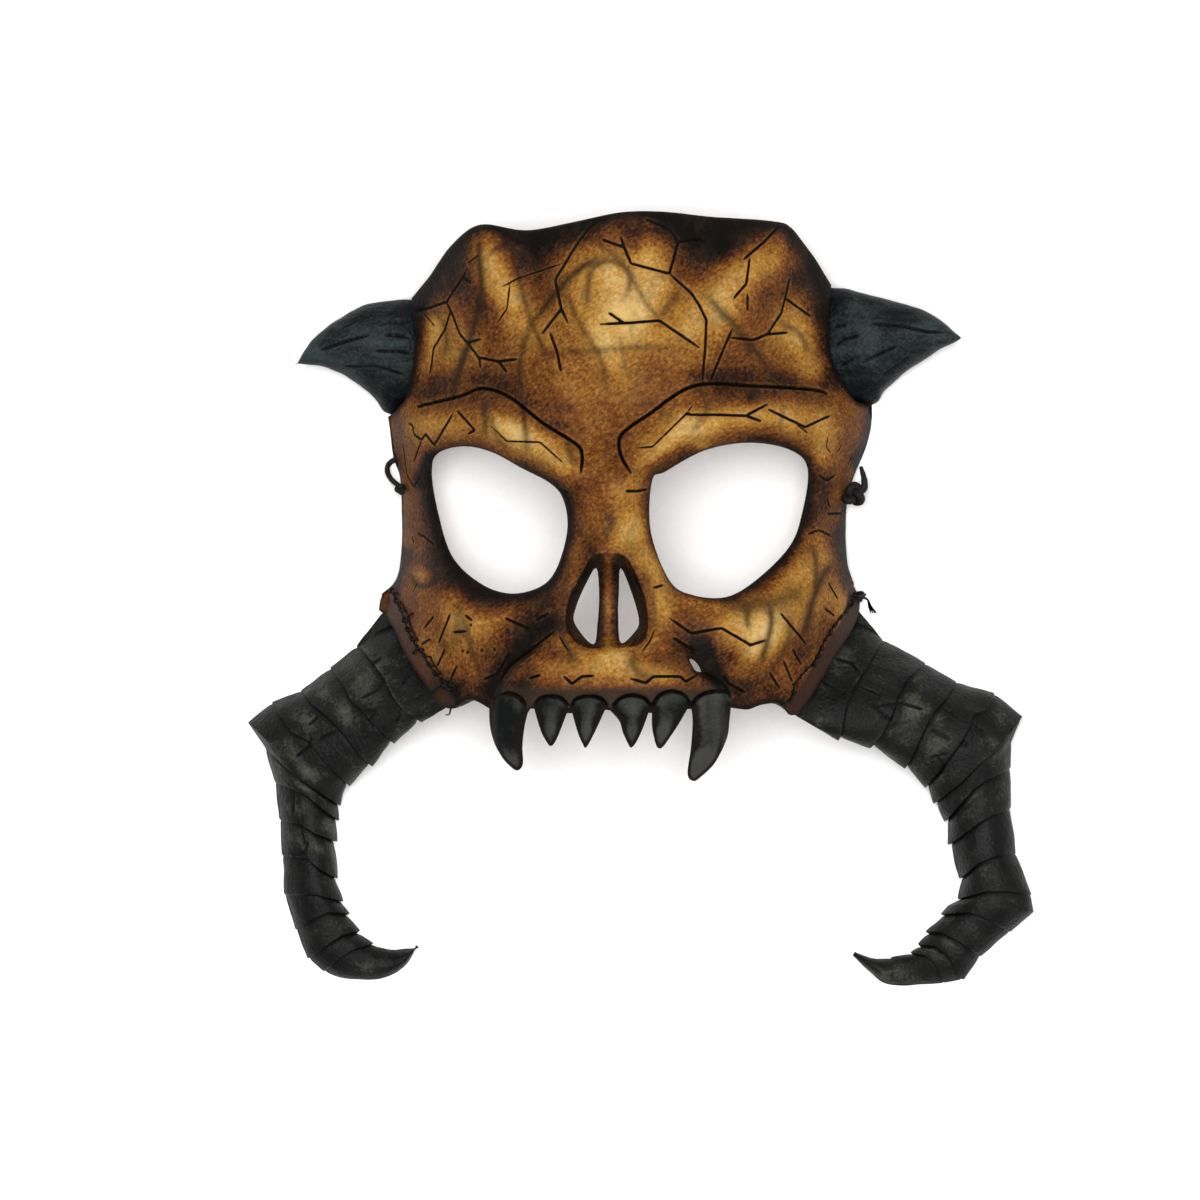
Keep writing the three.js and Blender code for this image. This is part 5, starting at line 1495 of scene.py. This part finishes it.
def carving(pattern, face):
    """How deep each point is carved, and how dark its carved line is."""
    deep = face.crack_depth / MM
    wide = face.crack_width / MM
    lots = (
        (CRACKS, stepped_line, deep, wide, 0.12, 1),
        (FINE_CRACKS, stepped_line, deep * 0.5, wide * 0.8, 0.2, 0.9),
        (BROW_LINES, smooth_line, face.line_depth / MM, wide * 1.2, 0.05, 1),
        (GUM_ARCS, smooth_line, deep * 1.3, wide * 1.5, 0.03, 1),
    )
    cuts = []
    for lines, draw, deep, wide, taper, strength in lots:
        paths = [unroll(draw(line, 0.8)) for line in lines]
        cuts.append(cut_lines(pattern.flat, paths, deep, wide, taper, 0.25, strength))
    for spot in DOTS:
        away = nearest_on(unroll([spot]), pattern.flat, 3)[0]
        cuts.append((0.4 * bell(away, 0.5), bell(away, 0.9)))
    return np.max(cuts, axis=0)


def toning(pattern, seen):
    """The light and dark of the face, from 0 for black to 1 for gold: partly airbrushed dye and partly
    painted shade and highlight.
    """
    x, y = seen[:, 0], seen[:, 1]
    tone = 0.5 + 0.018 * moulding(seen)
    for amount, spread, line in TONES:
        path = smooth_line(line, 2) if len(line) > 2 else np.array(line, float)
        tone += amount * bell(nearest_on(path, seen, 3 * spread)[0], spread)
    for line in SCRATCHES:
        tone += 0.12 * bell(nearest_on(smooth_line(line, 1), seen, 3)[0], 0.45)
    # The sunken floor round the nostrils is darker, and darker still along its edge, while the strip
    # between the nostrils stays lighter: airbrushed dye and painted shade of the recess together.
    floor = smooth_line(NOSE_FLOOR, 1, closed=True)
    away = nearest_on(closed_loop(floor), seen, 6)[0]
    sunk = is_inside(floor, seen)
    tone -= np.where(sunk, 0.29 + 0.12 * rise(-4, 8, y) - 0.03 * rise(-4, -10, y), 0)
    tone -= 0.16 * bell(away, 1.3) * (1 - nose_bridge(seen))
    between = 0.47 - 0.25 * rise(5, 10, y) - 0.16 * rise(0, -9, y)
    tone += np.where(sunk, between * bell(x - 0.6, 1.7), 0)
    # Darker round the eye holes, most at the lower and outer sides where the leather rolls in: airbrushed
    # dye and painted shade together.
    left, right = [nearest_on(closed_loop(eye), seen, 12)[0] for eye in EYES]
    upper = rise(22, 40, y)
    outer = rise(-18, -30, x)
    tone -= (0.5 - 0.3 * upper) * bell(left, 1.9 + 1.5 * outer * (1 - upper))
    outer = rise(20, 34, x)
    tone -= (0.25 + 0.17 * outer - 0.12 * upper) * bell(right, 1.5 + 1.1 * outer)
    tone -= 0.38 * bell(nearest_on(smooth_line(CROWN, 3), seen, 9)[0], 2.4)
    tone -= 0.3 * bell(distance_from(pattern.outer_tree, pattern.flat), 1.2)
    return tone


def smoking(seen):
    """Airbrushed black strokes, as strengths from 0 to 1."""
    smoke = np.zeros(len(seen))
    for spread, strength, line in SMOKE:
        path = smooth_line(line, 1.5) if len(line) > 2 else np.array(line, float)
        away, share = nearest_on(path, seen, 3 * spread)
        black = min(0.9, 1.5 * strength) * run_out(share, 0.2, 0.35) * bell(away, 0.82 * spread)
        smoke = 1 - (1 - smoke) * (1 - black)
    return smoke


def tooth_mask(seen):
    """1 on the teeth, below the arcs where the gum ends."""
    mask = np.zeros(len(seen))
    for arc in GUM_ARCS:
        line = smooth_line(arc, 0.8)
        below = [(line[-1][0] + 0.6, -60), (line[0][0] - 0.6, -60)]
        mask = np.maximum(mask, is_inside(np.concatenate([line, below]), seen))
    mask[seen[:, 1] < TEETH_ROOT] = 1
    mask[(seen[:, 0] < TEETH_SPAN[0]) | (seen[:, 0] > TEETH_SPAN[1])] = 0
    return mask


class MASK_OT_face(Operator):
    """Adds the face: a sheet of moulded leather with carved cracks, and the teeth cut in one with it."""

    bl_idname = "leather_mask.face"
    bl_label = "Face"

    def execute(self, context):
        face = context.scene.leather_mask.face
        pattern = FacePattern(face.spacing / MM)
        seen = roll_up(pattern.flat)
        height = moulding(seen)
        normal = dome_normal(pattern.flat)
        skin = dome(pattern.flat, height)
        inner = skin - normal * face.thickness / MM
        sight = np.array([math.sin(SIGHT_TILT), 0, math.cos(SIGHT_TILT)])
        steepness = np.maximum(normal @ sight, 0.5)
        straight = skin - sight * (face.thickness / MM / steepness)[:, None]
        by_hole = bell(distance_from(pattern.hole_tree, pattern.flat), 3.5)
        cut_straight = np.maximum(by_hole, rise(-29, -33, seen[:, 1]))
        inner += (straight - inner) * cut_straight[:, None]

        depth, dark = carving(pattern, face)
        away = distance_from(pattern.edge_tree, pattern.flat)
        round_off = np.clip(1 - away / (face.edge / MM), 0, 1)
        drop = face.edge / MM * (1 - np.sqrt(1 - round_off**2 * 0.96))
        strip_left, strip_right = [
            1 - rise(width, width + 1, nearest_on(smooth_line(strip, 2), seen, 9)[0])
            for strip, width in ((LEFT_STRIP, LEFT_STRIP_WIDTH), (RIGHT_STRIP, RIGHT_STRIP_WIDTH))
        ]
        depth += 0.5 * np.maximum(strip_left, strip_right)
        tooth = tooth_mask(seen)
        depth -= 0.9 * tooth * rise(0.2, 3.5, away)
        depth -= 0.1 * grain_of(skin, 7)
        skin = skin - normal * depth[:, None] - sight * drop[:, None]
        skin[:, 2] = np.maximum(skin[:, 2], FACE_CLEAR)
        inner[:, 2] = np.maximum(inner[:, 2], INSIDE_CLEAR)

        tone = toning(pattern, seen)
        is_fang = (seen[:, 0] < FANGS_PAST[0]) | (seen[:, 0] > FANGS_PAST[1])
        tip_starts = np.where(is_fang, FANG_TIP, TOOTH_TIP)
        tip = rise(tip_starts, tip_starts - TIP_RUN, seen[:, 1])
        # The teeth are lighter toward the right, at their worn tips and in patches, and darker toward
        # their cut edges: painted shade where the bevelled edges turn away.
        worn = 0.52 + 0.3 * rise(-30, 30, seen[:, 0]) + 0.45 * tip + 0.5 * grain_of(skin * [1, 0.6, 1], 6)
        tone += (worn * rise(0.4, 3.6 - 2.2 * tip, away) - tone) * tooth
        values = {
            "tone": tone,
            "crack": dark,
            "smoke": smoking(seen),
            "strip": np.maximum(0.63 * strip_left, 0.96 * strip_right),
            "gum": rise(-23.8, -26.6, seen[:, 1]) * upper_jaw(seen) * (1 - tooth) * 0.92,
            "tooth": tooth,
            "rim": 0.85 * bell(away, 0.55),
        }
        count = len(skin)
        rim = pattern.rim_edges()
        top = pattern.faces
        bottom = pattern.faces[:, ::-1] + count
        wall = np.stack([rim[:, 1], rim[:, 0], rim[:, 0] + count, rim[:, 1] + count], axis=1)
        wall = np.concatenate([wall[:, [0, 1, 2]], wall[:, [0, 2, 3]]])
        faces = np.concatenate([top, bottom, wall])
        inner_values = {key: np.zeros(count) for key in values}
        inner_values["rim"] = np.ones(count)
        every = {key: np.concatenate([values[key], inner_values[key]]) for key in values}
        kinds = np.concatenate([np.zeros(len(top)), np.ones(len(bottom)), np.zeros(len(wall))])
        materials = [tanned_leather_material(face), flesh_side_material(face)]
        piece = make_piece("face_leather", np.concatenate([skin, inner]), faces, materials, every, kinds)
        stands_for(piece, "face")
        return {"FINISHED"}


# Horns and tusks


# How many quads go across a horn or tusk, and where their corners lie on its arch
COLUMNS = 100
TURN = np.pi * np.arange(COLUMNS + 1) / COLUMNS
CROSSWISE = (1 - np.cos(TURN)) / 2

# Steps of the smooth surface between two rows, and a distance that is far from every ridge
SOFT_STEPS = 16
FAR = 99.0


def black_leather_material(name, dark, middle, light):
    """Wet-moulded leather, dyed black and dry-brushed: nearly black in the creases, with worn olive or
    teal grey on the broad parts, clouded and flecked, and a low satin shine. Its tone also carries
    painted shade in the creases and toward the edges and a painted highlight along the crests, and its
    crack value also carries the painted shadow in each crease of a tusk."""
    material, tree = new_material(name)
    keys = ("tone", "crack")
    tone, crack = [add(tree, "Attribute", {"attribute_name": key}).outputs["Fac"] for key in keys]
    place_in = add(tree, "TexCoord").outputs["Object"]
    inputs = {"Vector": place_in, "Scale": per_metre(9), "Detail": 6}
    cloud = add(tree, "TexNoise", inputs=inputs).outputs["Fac"]
    inputs = {"Vector": place_in, "Scale": per_metre(0.9), "Detail": 4, "Roughness": 0.65}
    fleck = add(tree, "TexNoise", inputs=inputs).outputs["Fac"]
    for layer, weight in ((cloud, 0.9), (fleck, 1.0)):
        inputs = {0: layer, 1: weight, 2: tone}
        tone = add(tree, "Math", {"operation": "MULTIPLY_ADD"}, inputs).outputs[0]
    even = add(tree, "Math", {"operation": "SUBTRACT"}, {0: tone, 1: 0.96}).outputs[0]
    stops = [(0, dark), (0.35, middle), (1, light)]
    colour = add(tree, "ValToRGB", {"stops": stops}, {"Fac": even}).outputs["Color"]
    inputs = {"Factor": crisp_line(tree, crack, fleck), 6: colour, 7: linear("#060606")}
    lined = add(tree, "Mix", {"data_type": "RGBA"}, inputs).outputs[2]
    # Real pebbles are about 0.4 mm across, drawn coarser so that they show
    inputs = {"Vector": place_in, "Scale": per_metre(1.0), "Randomness": 1.0}
    pebbles = add(tree, "TexVoronoi", {"feature": "SMOOTH_F1"}, inputs).outputs["Distance"]
    skin = add(tree, "Math", {"operation": "MULTIPLY_ADD"}, {0: fleck, 1: 0.8, 2: pebbles})
    relief = {"Height": skin.outputs[0], "Strength": 0.5, "Distance": 0.0004}
    bump = add(tree, "Bump", inputs=relief).outputs["Normal"]
    inputs = {"Value": cloud, "From Min": 0.3, "From Max": 0.7, "To Min": 0.42, "To Max": 0.62}
    shine = add(tree, "MapRange", inputs=inputs).outputs["Result"]
    inputs = {"Base Color": lined, "Roughness": shine, "Specular IOR Level": 0.12, "Normal": bump}
    shader = add(tree, "BsdfPrincipled", inputs=inputs)
    add(tree, "OutputMaterial", inputs={"Surface": shader.outputs["BSDF"]})
    return material


def arch_row(line, edges, crest):
    """One arched row of points, from the upper or outer edge to the lower or inner one."""
    flat = resample(np.asarray(line, float), CROSSWISE)
    height = edges[0] + (edges[1] - edges[0]) * CROSSWISE + crest * np.sin(TURN)
    return place(flat[:, 0], flat[:, 1], height)


def seat_rows(seat, inward):
    """The rows under the face's edge, which follow the inside of its leather."""
    line = resample(curve_through(seat), CROSSWISE)
    side = math.copysign(1, np.dot(offset_row(line, 1)[COLUMNS // 2] - line[COLUMNS // 2], inward))
    depth = np.full(COLUMNS + 1, FACE_LEATHER + FIT_GAP)
    tucked = offset_row(line, side * TUCK)
    lip = offset_row(line, -side * LIP)
    return [under(tucked, depth), under(line, depth), under(lip, depth + LIP_DROP)]


def tip_row(tip, last_middle):
    """The very small row at a horn's or tusk's tip."""
    x, y, h = tip
    away = np.array([x, y]) - last_middle
    away /= np.linalg.norm(away)
    side = np.array([-away[1], away[0]]) * TIP_SIZE
    return arch_row([np.array([x, y]) + side, np.array([x, y]) - side], (h - 1, h - 1), TIP_CREST)


def outward_of(row):
    """The directions in which an arched row would grow: out at its edges, and up at its crest."""
    chord = row[-1] - row[0]
    chord[2] = 0
    chord /= np.linalg.norm(chord)
    return -np.cos(TURN)[:, None] * chord + np.sin(TURN)[:, None] * np.array([0, 0, 1.0])


def dense_rows(rows, spacing, sharp_until=0):
    """Rows close together through the given ones, straight up to one of them and smooth after it."""
    rows = np.array(rows)
    middle = rows[:, len(rows[0]) // 2]
    soft = curve_through(rows[sharp_until:], steps=SOFT_STEPS)
    result = []
    marks = []
    for i in range(len(rows) - 1):
        count = max(3, round(np.linalg.norm(middle[i + 1] - middle[i]) / spacing))
        for k in range(count):
            t = k / count
            if i < sharp_until:
                row = rows[i] * (1 - t) + rows[i + 1] * t
            else:
                at = (i - sharp_until + t) * SOFT_STEPS
                low = int(at)
                row = soft[low] * (1 - at + low) + soft[low + 1] * (at - low)
            result.append(row)
            marks.append(i + t)
    result.append(rows[-1])
    marks.append(len(rows) - 1.0)
    return np.array(result), np.array(marks)


def along(row_values):
    """One value a row, given to all the row's points."""
    return np.repeat(row_values, COLUMNS + 1)


def sheet_of(rows, thickness):
    """The rows' points, the ways out from them, and how thick the leather can be there."""
    ways = np.array([outward_of(row) for row in rows]).reshape(-1, 3)
    half_span = np.linalg.norm((rows[:, -1] - rows[:, 0])[:, :2], axis=1) / 2
    return rows.reshape(-1, 3), ways, along(np.minimum(thickness, 0.8 * half_span))


def leather_shell(name, outer, inner, tone, crack, material):
    """A closed piece of leather between the rows of its outside and of its inside."""
    outer[:, 2] = np.maximum(outer[:, 2], HORN_CLEAR)
    inner[:, 2] = np.maximum(inner[:, 2], INSIDE_CLEAR)
    faces = shell_faces(len(outer) // (COLUMNS + 1), COLUMNS + 1)
    points = np.concatenate([outer, inner])
    a, b, c, d = (points[faces[:, k]] for k in range(4))
    volume = (np.einsum("ij,ij->i", a, np.cross(b, c)) + np.einsum("ij,ij->i", a, np.cross(c, d))).sum()
    if volume < 0:
        faces = faces[:, ::-1]
    values = {
        "tone": np.concatenate([tone, np.full(len(inner), 0.25)]),
        "crack": np.concatenate([crack, np.zeros(len(inner))]),
    }
    return make_piece(name, points, faces, [material], values)


def carved(points, lines, width):
    """How deep and how dark lines carved in a horn or tusk are at each of its points."""
    seen_x = (points[:, 0] + CENTRE_X - points[:, 2] * math.tan(SIGHT_TILT)) * math.cos(SIGHT_TILT)
    return cut_lines(np.stack([seen_x, points[:, 1] + CENTRE_Y], axis=1), lines, 0.55, width)


def horn_piece(name, seat, inward, sections, tip, grooves, material, settings):
    """A horn: an arched skin of leather with a few grooves, from its seat out to its tip."""
    rows = seat_rows(seat, inward)
    for upper, lower, edges, crest in sections:
        rows.append(arch_row([upper, lower], edges, crest))
    rows.append(tip_row(tip, (np.array(sections[-1][0]) + np.array(sections[-1][1])) / 2))
    rows, marks = dense_rows(rows, 0.7 * settings.spacing / MM, sharp_until=2)
    flat, ways, thickness = sheet_of(rows, settings.thickness / MM)
    deep, dark = carved(flat, grooves, 0.42)
    share = marks / marks[-1]
    shown = along(np.clip((marks - 2) * 2, 0, 1))
    lumps = 0.35 * grain_of(flat * [1, 2.2, 1], 9) * shown
    skin = flat + ways * (lumps - deep * shown)[:, None]
    inner = flat - ways * thickness[:, None]
    crest = np.tile(np.sin(TURN), len(rows))
    streaks = grain_of(flat * [0.35, 2.2, 1], 4)
    # Lighter along the crest of the arch and darker toward its edges, in patches and streaks: dry-brushed
    # dye with a painted highlight and shade.
    tone = 0.14 + 0.46 * crest**1.3 * np.clip(0.7 + 0.8 * grain_of(flat, 12), 0, 1) + 0.16 * streaks
    tone += along(0.16 * rise(0.45, 0.85, share) - 0.12 * rise(0.35, 0.1, share))
    return leather_shell(name, skin, inner, tone, dark, material)


def tusk_piece(name, seat, inward, stations, tip, cracks, material, settings):
    """A tusk: an arched skin of leather that steps in after each of its ridges, out to its tip."""
    rows = seat_rows(seat, inward)
    ridges = []
    for station, is_ridge, line in stations:
        if is_ridge:
            ridges.append(len(rows))
        edges = (TUSK_OUTER_EDGE, np.interp(station, range(15), TUSK_INNER_EDGE))
        rows.append(arch_row(line, edges, np.interp(station, range(15), TUSK_CREST)))
    last = np.array(stations[-1][2])
    rows.append(tip_row(tip, (last[0] + last[-1]) / 2))
    rows, marks = dense_rows(rows, settings.spacing / MM, sharp_until=ridges[-1])

    step = settings.ridge_step / MM
    run = lengths_along(rows[:, COLUMNS // 2])
    ridge_runs = [run[np.searchsorted(marks, i)] for i in ridges]
    lift = np.zeros(len(rows))
    since, until = np.full((2, len(rows)), FAR)
    share = np.full(len(rows), 0.5)
    for start, end in zip(ridge_runs, [*ridge_runs[1:], run[-1]]):
        here = (run > start + 1e-6) & (run <= end + 1e-6)
        share[here] = (run[here] - start) / (end - start)
        lift[here] = -step * (1 - share[here]) ** 1.4
        since[here] = run[here] - start
        until[here] = end - run[here]
    until[run <= ridge_runs[0]] = ridge_runs[0] - run[run <= ridge_runs[0]]
    lift[run > ridge_runs[-1]] *= 0.6

    flat, ways, thickness = sheet_of(rows, settings.thickness / MM)
    deep, dark = carved(flat, cracks, 0.48)
    lumps = 0.3 * grain_of(flat, 8) * along(np.clip((marks - 2.2) * 2, 0, 1))
    crease = along(0.35 * bell(since, 0.7))
    uneven = 0.65 - 0.45 * np.cos(TURN) + 0.35 * grain_of(rows[:, 0], 11)[:, None]
    lift = (lift[:, None] * uneven + 0.45 * np.clip(np.cos(TURN), 0, 1)).ravel()
    skin = flat + ways * (lift + lumps - deep - crease)[:, None]
    inner = flat - ways * (thickness + 0.6)[:, None]

    crest = np.tile(np.sin(TURN), len(rows))
    middle = along(np.sin(np.pi * np.clip(share, 0, 1)))
    patch = np.clip(0.5 + 1.1 * grain_of(flat, 13), 0, 1)
    # Lighter in the middle of each segment and along the crest, darker toward the edges where the surface
    # turns away: dry-brushed dye with painted highlight and shade.
    tone = 0.08 + 0.5 * middle * np.sqrt(crest) * patch + 0.2 * grain_of(flat, 4)
    # Darker in the crease just past each ridge, a painted shade at the foot of the step, and darker
    # toward the tip.
    tone -= along(0.25 * bell(since, 1.6) + 0.12 * rise(0.45, 0.8, run / run[-1]))
    rubbed = np.clip(0.2 + 1.6 * grain_of(flat, 7), 0, 1) * np.sqrt(crest)
    tone += 0.3 * rubbed * along(bell(since - 1.9, 0.6) + bell(until, 0.8))
    # A black line in each step's crease: a painted shadow, carried in the crack value.
    dark = np.maximum(dark, along(bell(since, 0.6)))
    return leather_shell(name, skin, inner, tone, dark, material)


class MASK_OT_horns(Operator):
    """Adds the two small horns at the temples."""

    bl_idname = "leather_mask.horns"
    bl_label = "Horns"

    def execute(self, context):
        horns = context.scene.leather_mask.horns
        colours = (horns.horn_dark, horns.horn_middle, horns.horn_light)
        material = black_leather_material("wet-moulded leather, dyed black, horns", *colours)
        for name, node, *drawing in HORNS:
            stands_for(horn_piece(name, *drawing, material, horns), node)
        return {"FINISHED"}


class MASK_OT_tusks(Operator):
    """Adds the two ridged tusks under the cheeks."""

    bl_idname = "leather_mask.tusks"
    bl_label = "Tusks"

    def execute(self, context):
        horns = context.scene.leather_mask.horns
        colours = (horns.tusk_dark, horns.tusk_middle, horns.tusk_light)
        material = black_leather_material("wet-moulded leather, dyed black, tusks", *colours)
        for name, node, *drawing in TUSKS:
            stands_for(tusk_piece(name, *drawing, material, horns), node)
        return {"FINISHED"}


# Seams


# How far a laced seam's second row lies beside its first
SECOND_ROW = 1.25


def thread_over(spots, lifts, diameter):
    """A length of thread that follows the face at given heights over its skin."""
    line = np.concatenate([under(spot, -lift) for spot, lift in zip(spots, lifts)])
    line = smooth_line(line, diameter * 0.5)
    radii = np.full(len(line), diameter / 2)
    radii[[0, -1]] *= 0.6
    return tube(line, radii[:, None], 6)


def stitch(start, end, diameter, height):
    """One stitch: out of its hole, over the leather and back in."""
    start = np.array(start)
    end = np.array(end)
    spots = [start + (end - start) * t for t in (0, 0.12, 0.5, 0.88, 1)]
    lifts = (-0.5, diameter * 0.45, height, diameter * 0.45, -0.5)
    return thread_over(spots, lifts, diameter)


def seam_threads(line, diameter, pitch, laced, rng):
    """Stitches end to end along a seam, pulled into a lump at each hole; a laced seam has a second row
    beside the first, tied to it by slanting threads."""
    path = smooth_line(line, 0.4)
    count = round(lengths_along(path)[-1] / pitch)
    holes = resample(path, np.linspace(0.02, 1, count + 1))
    way = np.gradient(holes, axis=0)
    way /= np.linalg.norm(way, axis=1)[:, None]
    side = np.stack([-way[:, 1], way[:, 0]], axis=1)
    holes += side * np.array([[rng.uniform(-0.3, 0.3)] for _ in holes])
    beside = holes + side * SECOND_ROW + way * pitch * 0.4
    parts = []
    for i in range(count):
        lump = diameter * rng.uniform(1.1, 1.55)
        lean = way[i] * rng.uniform(0.35, 0.6) + side[i] * rng.uniform(-0.25, 0.25)
        parts.append(stitch(holes[i] - lean, holes[i] + lean, lump, lump * 0.55))
        thin = diameter * rng.uniform(0.5, 0.8)
        parts.append(stitch(holes[i], holes[i + 1], thin, thin * 0.7))
        if laced:
            parts.append(stitch(holes[i], beside[i], diameter * 0.6, diameter * 0.8))
            if rng.random() < 0.7:
                parts.append(stitch(beside[i], beside[i + 1], diameter * 0.6, diameter * 0.45))
            if rng.random() < 0.6:
                parts.append(stitch(beside[i], holes[i + 1], diameter * 0.5, diameter * 0.9))
    return parts


def thread_cluster(spot, diameter, count, size, rng):
    """The lump where a seam's threads are tied off."""
    parts = []
    for _ in range(count):
        angle = rng.uniform(0, 2 * math.pi)
        reach = np.array([math.cos(angle), math.sin(angle)]) * size * rng.uniform(0.6, 1.1)
        bend = np.array([-reach[1], reach[0]]) * rng.uniform(-0.6, 0.6)
        middle = np.array(spot)
        spots = [middle - reach, middle - reach * 0.4 + bend, middle + reach * 0.4 - bend, middle + reach]
        lift = diameter * rng.uniform(0.8, 1.9)
        parts.append(thread_over(spots, (-0.3, lift, lift, -0.3), diameter * 0.75))
    return parts


def loose_end(points, diameter):
    """A free end of thread, as points in the part's frame."""
    line = smooth_line(points, diameter * 0.6)
    radii = diameter / 2 * np.linspace(1, 0.55, len(line))
    return tube(line, radii[:, None], 6)


class MASK_OT_seams(Operator):
    """Adds the two seams of waxed thread between the cheeks and the tusks."""

    bl_idname = "leather_mask.seams"
    bl_label = "Seams"

    def execute(self, context):
        cords = context.scene.leather_mask.cords
        thread = cords.thread / MM
        material = waxed_thread_material(cords)

        rng = random.Random(7)
        parts = seam_threads(LEFT_STITCHES, thread, 3, True, rng)
        for start, end in LONG_STITCHES:
            parts.append(stitch(start, end, thread * 0.75, thread * 0.6))
        parts += thread_cluster((-45.2, -24.8), thread, 7, 2.1, rng)
        hook = [under((-44.6, -30.6), -0.4)[0], under((-44.4, -31.8), -0.9)[0]]
        hook += [hook[1] + np.array(step) for step in ((-0.5, -1.3, -1.0), (-1.6, -1.4, -1.6))]
        parts.append(loose_end(hook, thread * 0.7))
        left = make_piece("stitching_left", *merged(parts), [material])
        stands_for(left, "seam_thread_left")

        rng = random.Random(11)
        parts = seam_threads(RIGHT_STITCHES, thread * 0.85, 2.7, False, rng)
        parts += thread_cluster((73.3, 0.9), thread, 8, 1.9, rng)
        for lean in (-0.9, -0.3, 0.3, 0.8):
            start = under((73.8, 0.6), -0.8)[0]
            bend = (2.2 + lean * 0.4, -2.6, -1.4)
            steps = ((0, 0, 0), (1.5, -0.7, -0.4), bend, (3.3 + lean, -4.6, -2.6))
            parts.append(loose_end([start + np.array(step) for step in steps], thread * 0.8))
        right = make_piece("stitching_right", *merged(parts), [material])
        stands_for(right, "seam_thread_right")
        return {"FINISHED"}


# Stage


# Half the floor's side in millimetres, and for each lamp its name, setting, size and place in metres
FLOOR_HALF = 4000
LAMPS = (
    ("key_lamp", "key", 1.2, (0.08, 0.2, 2.05)),
    ("fill_lamp", "fill", 1.8, (1.2, -0.6, 1.6)),
)


def paper_material(stage):
    """Matt white paper: an even pale floor with a trace of tooth."""
    material, tree = new_material("matt white paper")
    place_in = add(tree, "TexCoord").outputs["Object"]
    tooth = add(tree, "TexNoise", inputs={"Vector": place_in, "Scale": per_metre(2), "Detail": 2})
    stops = [(0, stage.paper), (1, linear("#FFFFFF"))]
    colour = add(tree, "ValToRGB", {"stops": stops}, {"Fac": tooth.outputs["Fac"]}).outputs["Color"]
    shader = add(tree, "BsdfPrincipled", inputs={"Base Color": colour, "Roughness": 0.9})
    add(tree, "OutputMaterial", inputs={"Surface": shader.outputs["BSDF"]})
    return material


def add_lamp(name, power, size, location):
    """A square soft lamp that looks at the middle of the mask."""
    data = bpy.data.lights.new(name, "AREA")
    data.energy = power
    data.size = size
    lamp = bpy.data.objects.new(name, data)
    lamp.location = location
    lamp.rotation_euler = (-Vector(location)).to_track_quat("-Z", "Y").to_euler()
    bpy.context.scene.collection.objects.link(lamp)


class MASK_OT_stage(Operator):
    """Adds the pale floor, the lamps and the white surroundings."""

    bl_idname = "leather_mask.stage"
    bl_label = "Stage"

    def execute(self, context):
        stage = context.scene.leather_mask.stage
        corners = FLOOR_HALF * np.array([(-1, -1, 0), (1, -1, 0), (1, 1, 0), (-1, 1, 0)])
        floor = make_piece("paper_floor", corners, [(0, 1, 2, 3)], [paper_material(stage)])
        for name, setting, size, location in LAMPS:
            add_lamp(name, getattr(stage, setting), size, location)
        world = bpy.data.worlds.new("white_surroundings")
        world.use_nodes = True
        world.node_tree.nodes.clear()
        sky = add(world.node_tree, "Background", inputs={"Color": (1, 1, 1, 1), "Strength": stage.sky})
        add(world.node_tree, "OutputWorld", inputs={"Surface": sky.outputs["Background"]})
        context.scene.world = world
        context.scene.view_settings.view_transform = "Standard"
        return {"FINISHED"}


# Panel and running


OPERATORS = (
    MASK_OT_camera, MASK_OT_cord, MASK_OT_face, MASK_OT_horns, MASK_OT_tusks, MASK_OT_seams,
    MASK_OT_stage,
)


class MASK_PT_panel(Panel):
    """Lists the mask's operators and settings."""

    bl_label = "Leather skull mask"
    bl_idname = "MASK_PT_panel"
    bl_space_type = "VIEW_3D"
    bl_region_type = "UI"
    bl_category = "Mask"

    def draw(self, context):
        settings = context.scene.leather_mask
        for operator in OPERATORS:
            self.layout.operator(operator.bl_idname)
        for group in (settings.face, settings.horns, settings.cords, settings.stage):
            box = self.layout.box()
            for key in group.bl_rna.properties.keys():
                if key not in ("rna_type", "name"):
                    box.prop(group, key)


CLASSES = (
    FaceSettings, HornSettings, CordSettings, StageSettings, MaskSettings, *OPERATORS, MASK_PT_panel,
)


def register():
    for cls in CLASSES:
        bpy.utils.register_class(cls)
    bpy.types.Scene.leather_mask = PointerProperty(type=MaskSettings)


def unregister():
    del bpy.types.Scene.leather_mask
    for cls in reversed(CLASSES):
        bpy.utils.unregister_class(cls)


def main():
    """Registers the add-on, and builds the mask."""
    register()
    bpy.ops.leather_mask.camera()
    bpy.ops.leather_mask.cord()
    bpy.ops.leather_mask.face()
    bpy.ops.leather_mask.horns()
    bpy.ops.leather_mask.tusks()
    bpy.ops.leather_mask.seams()
    bpy.ops.leather_mask.stage()


if __name__ == "__main__":
    main()
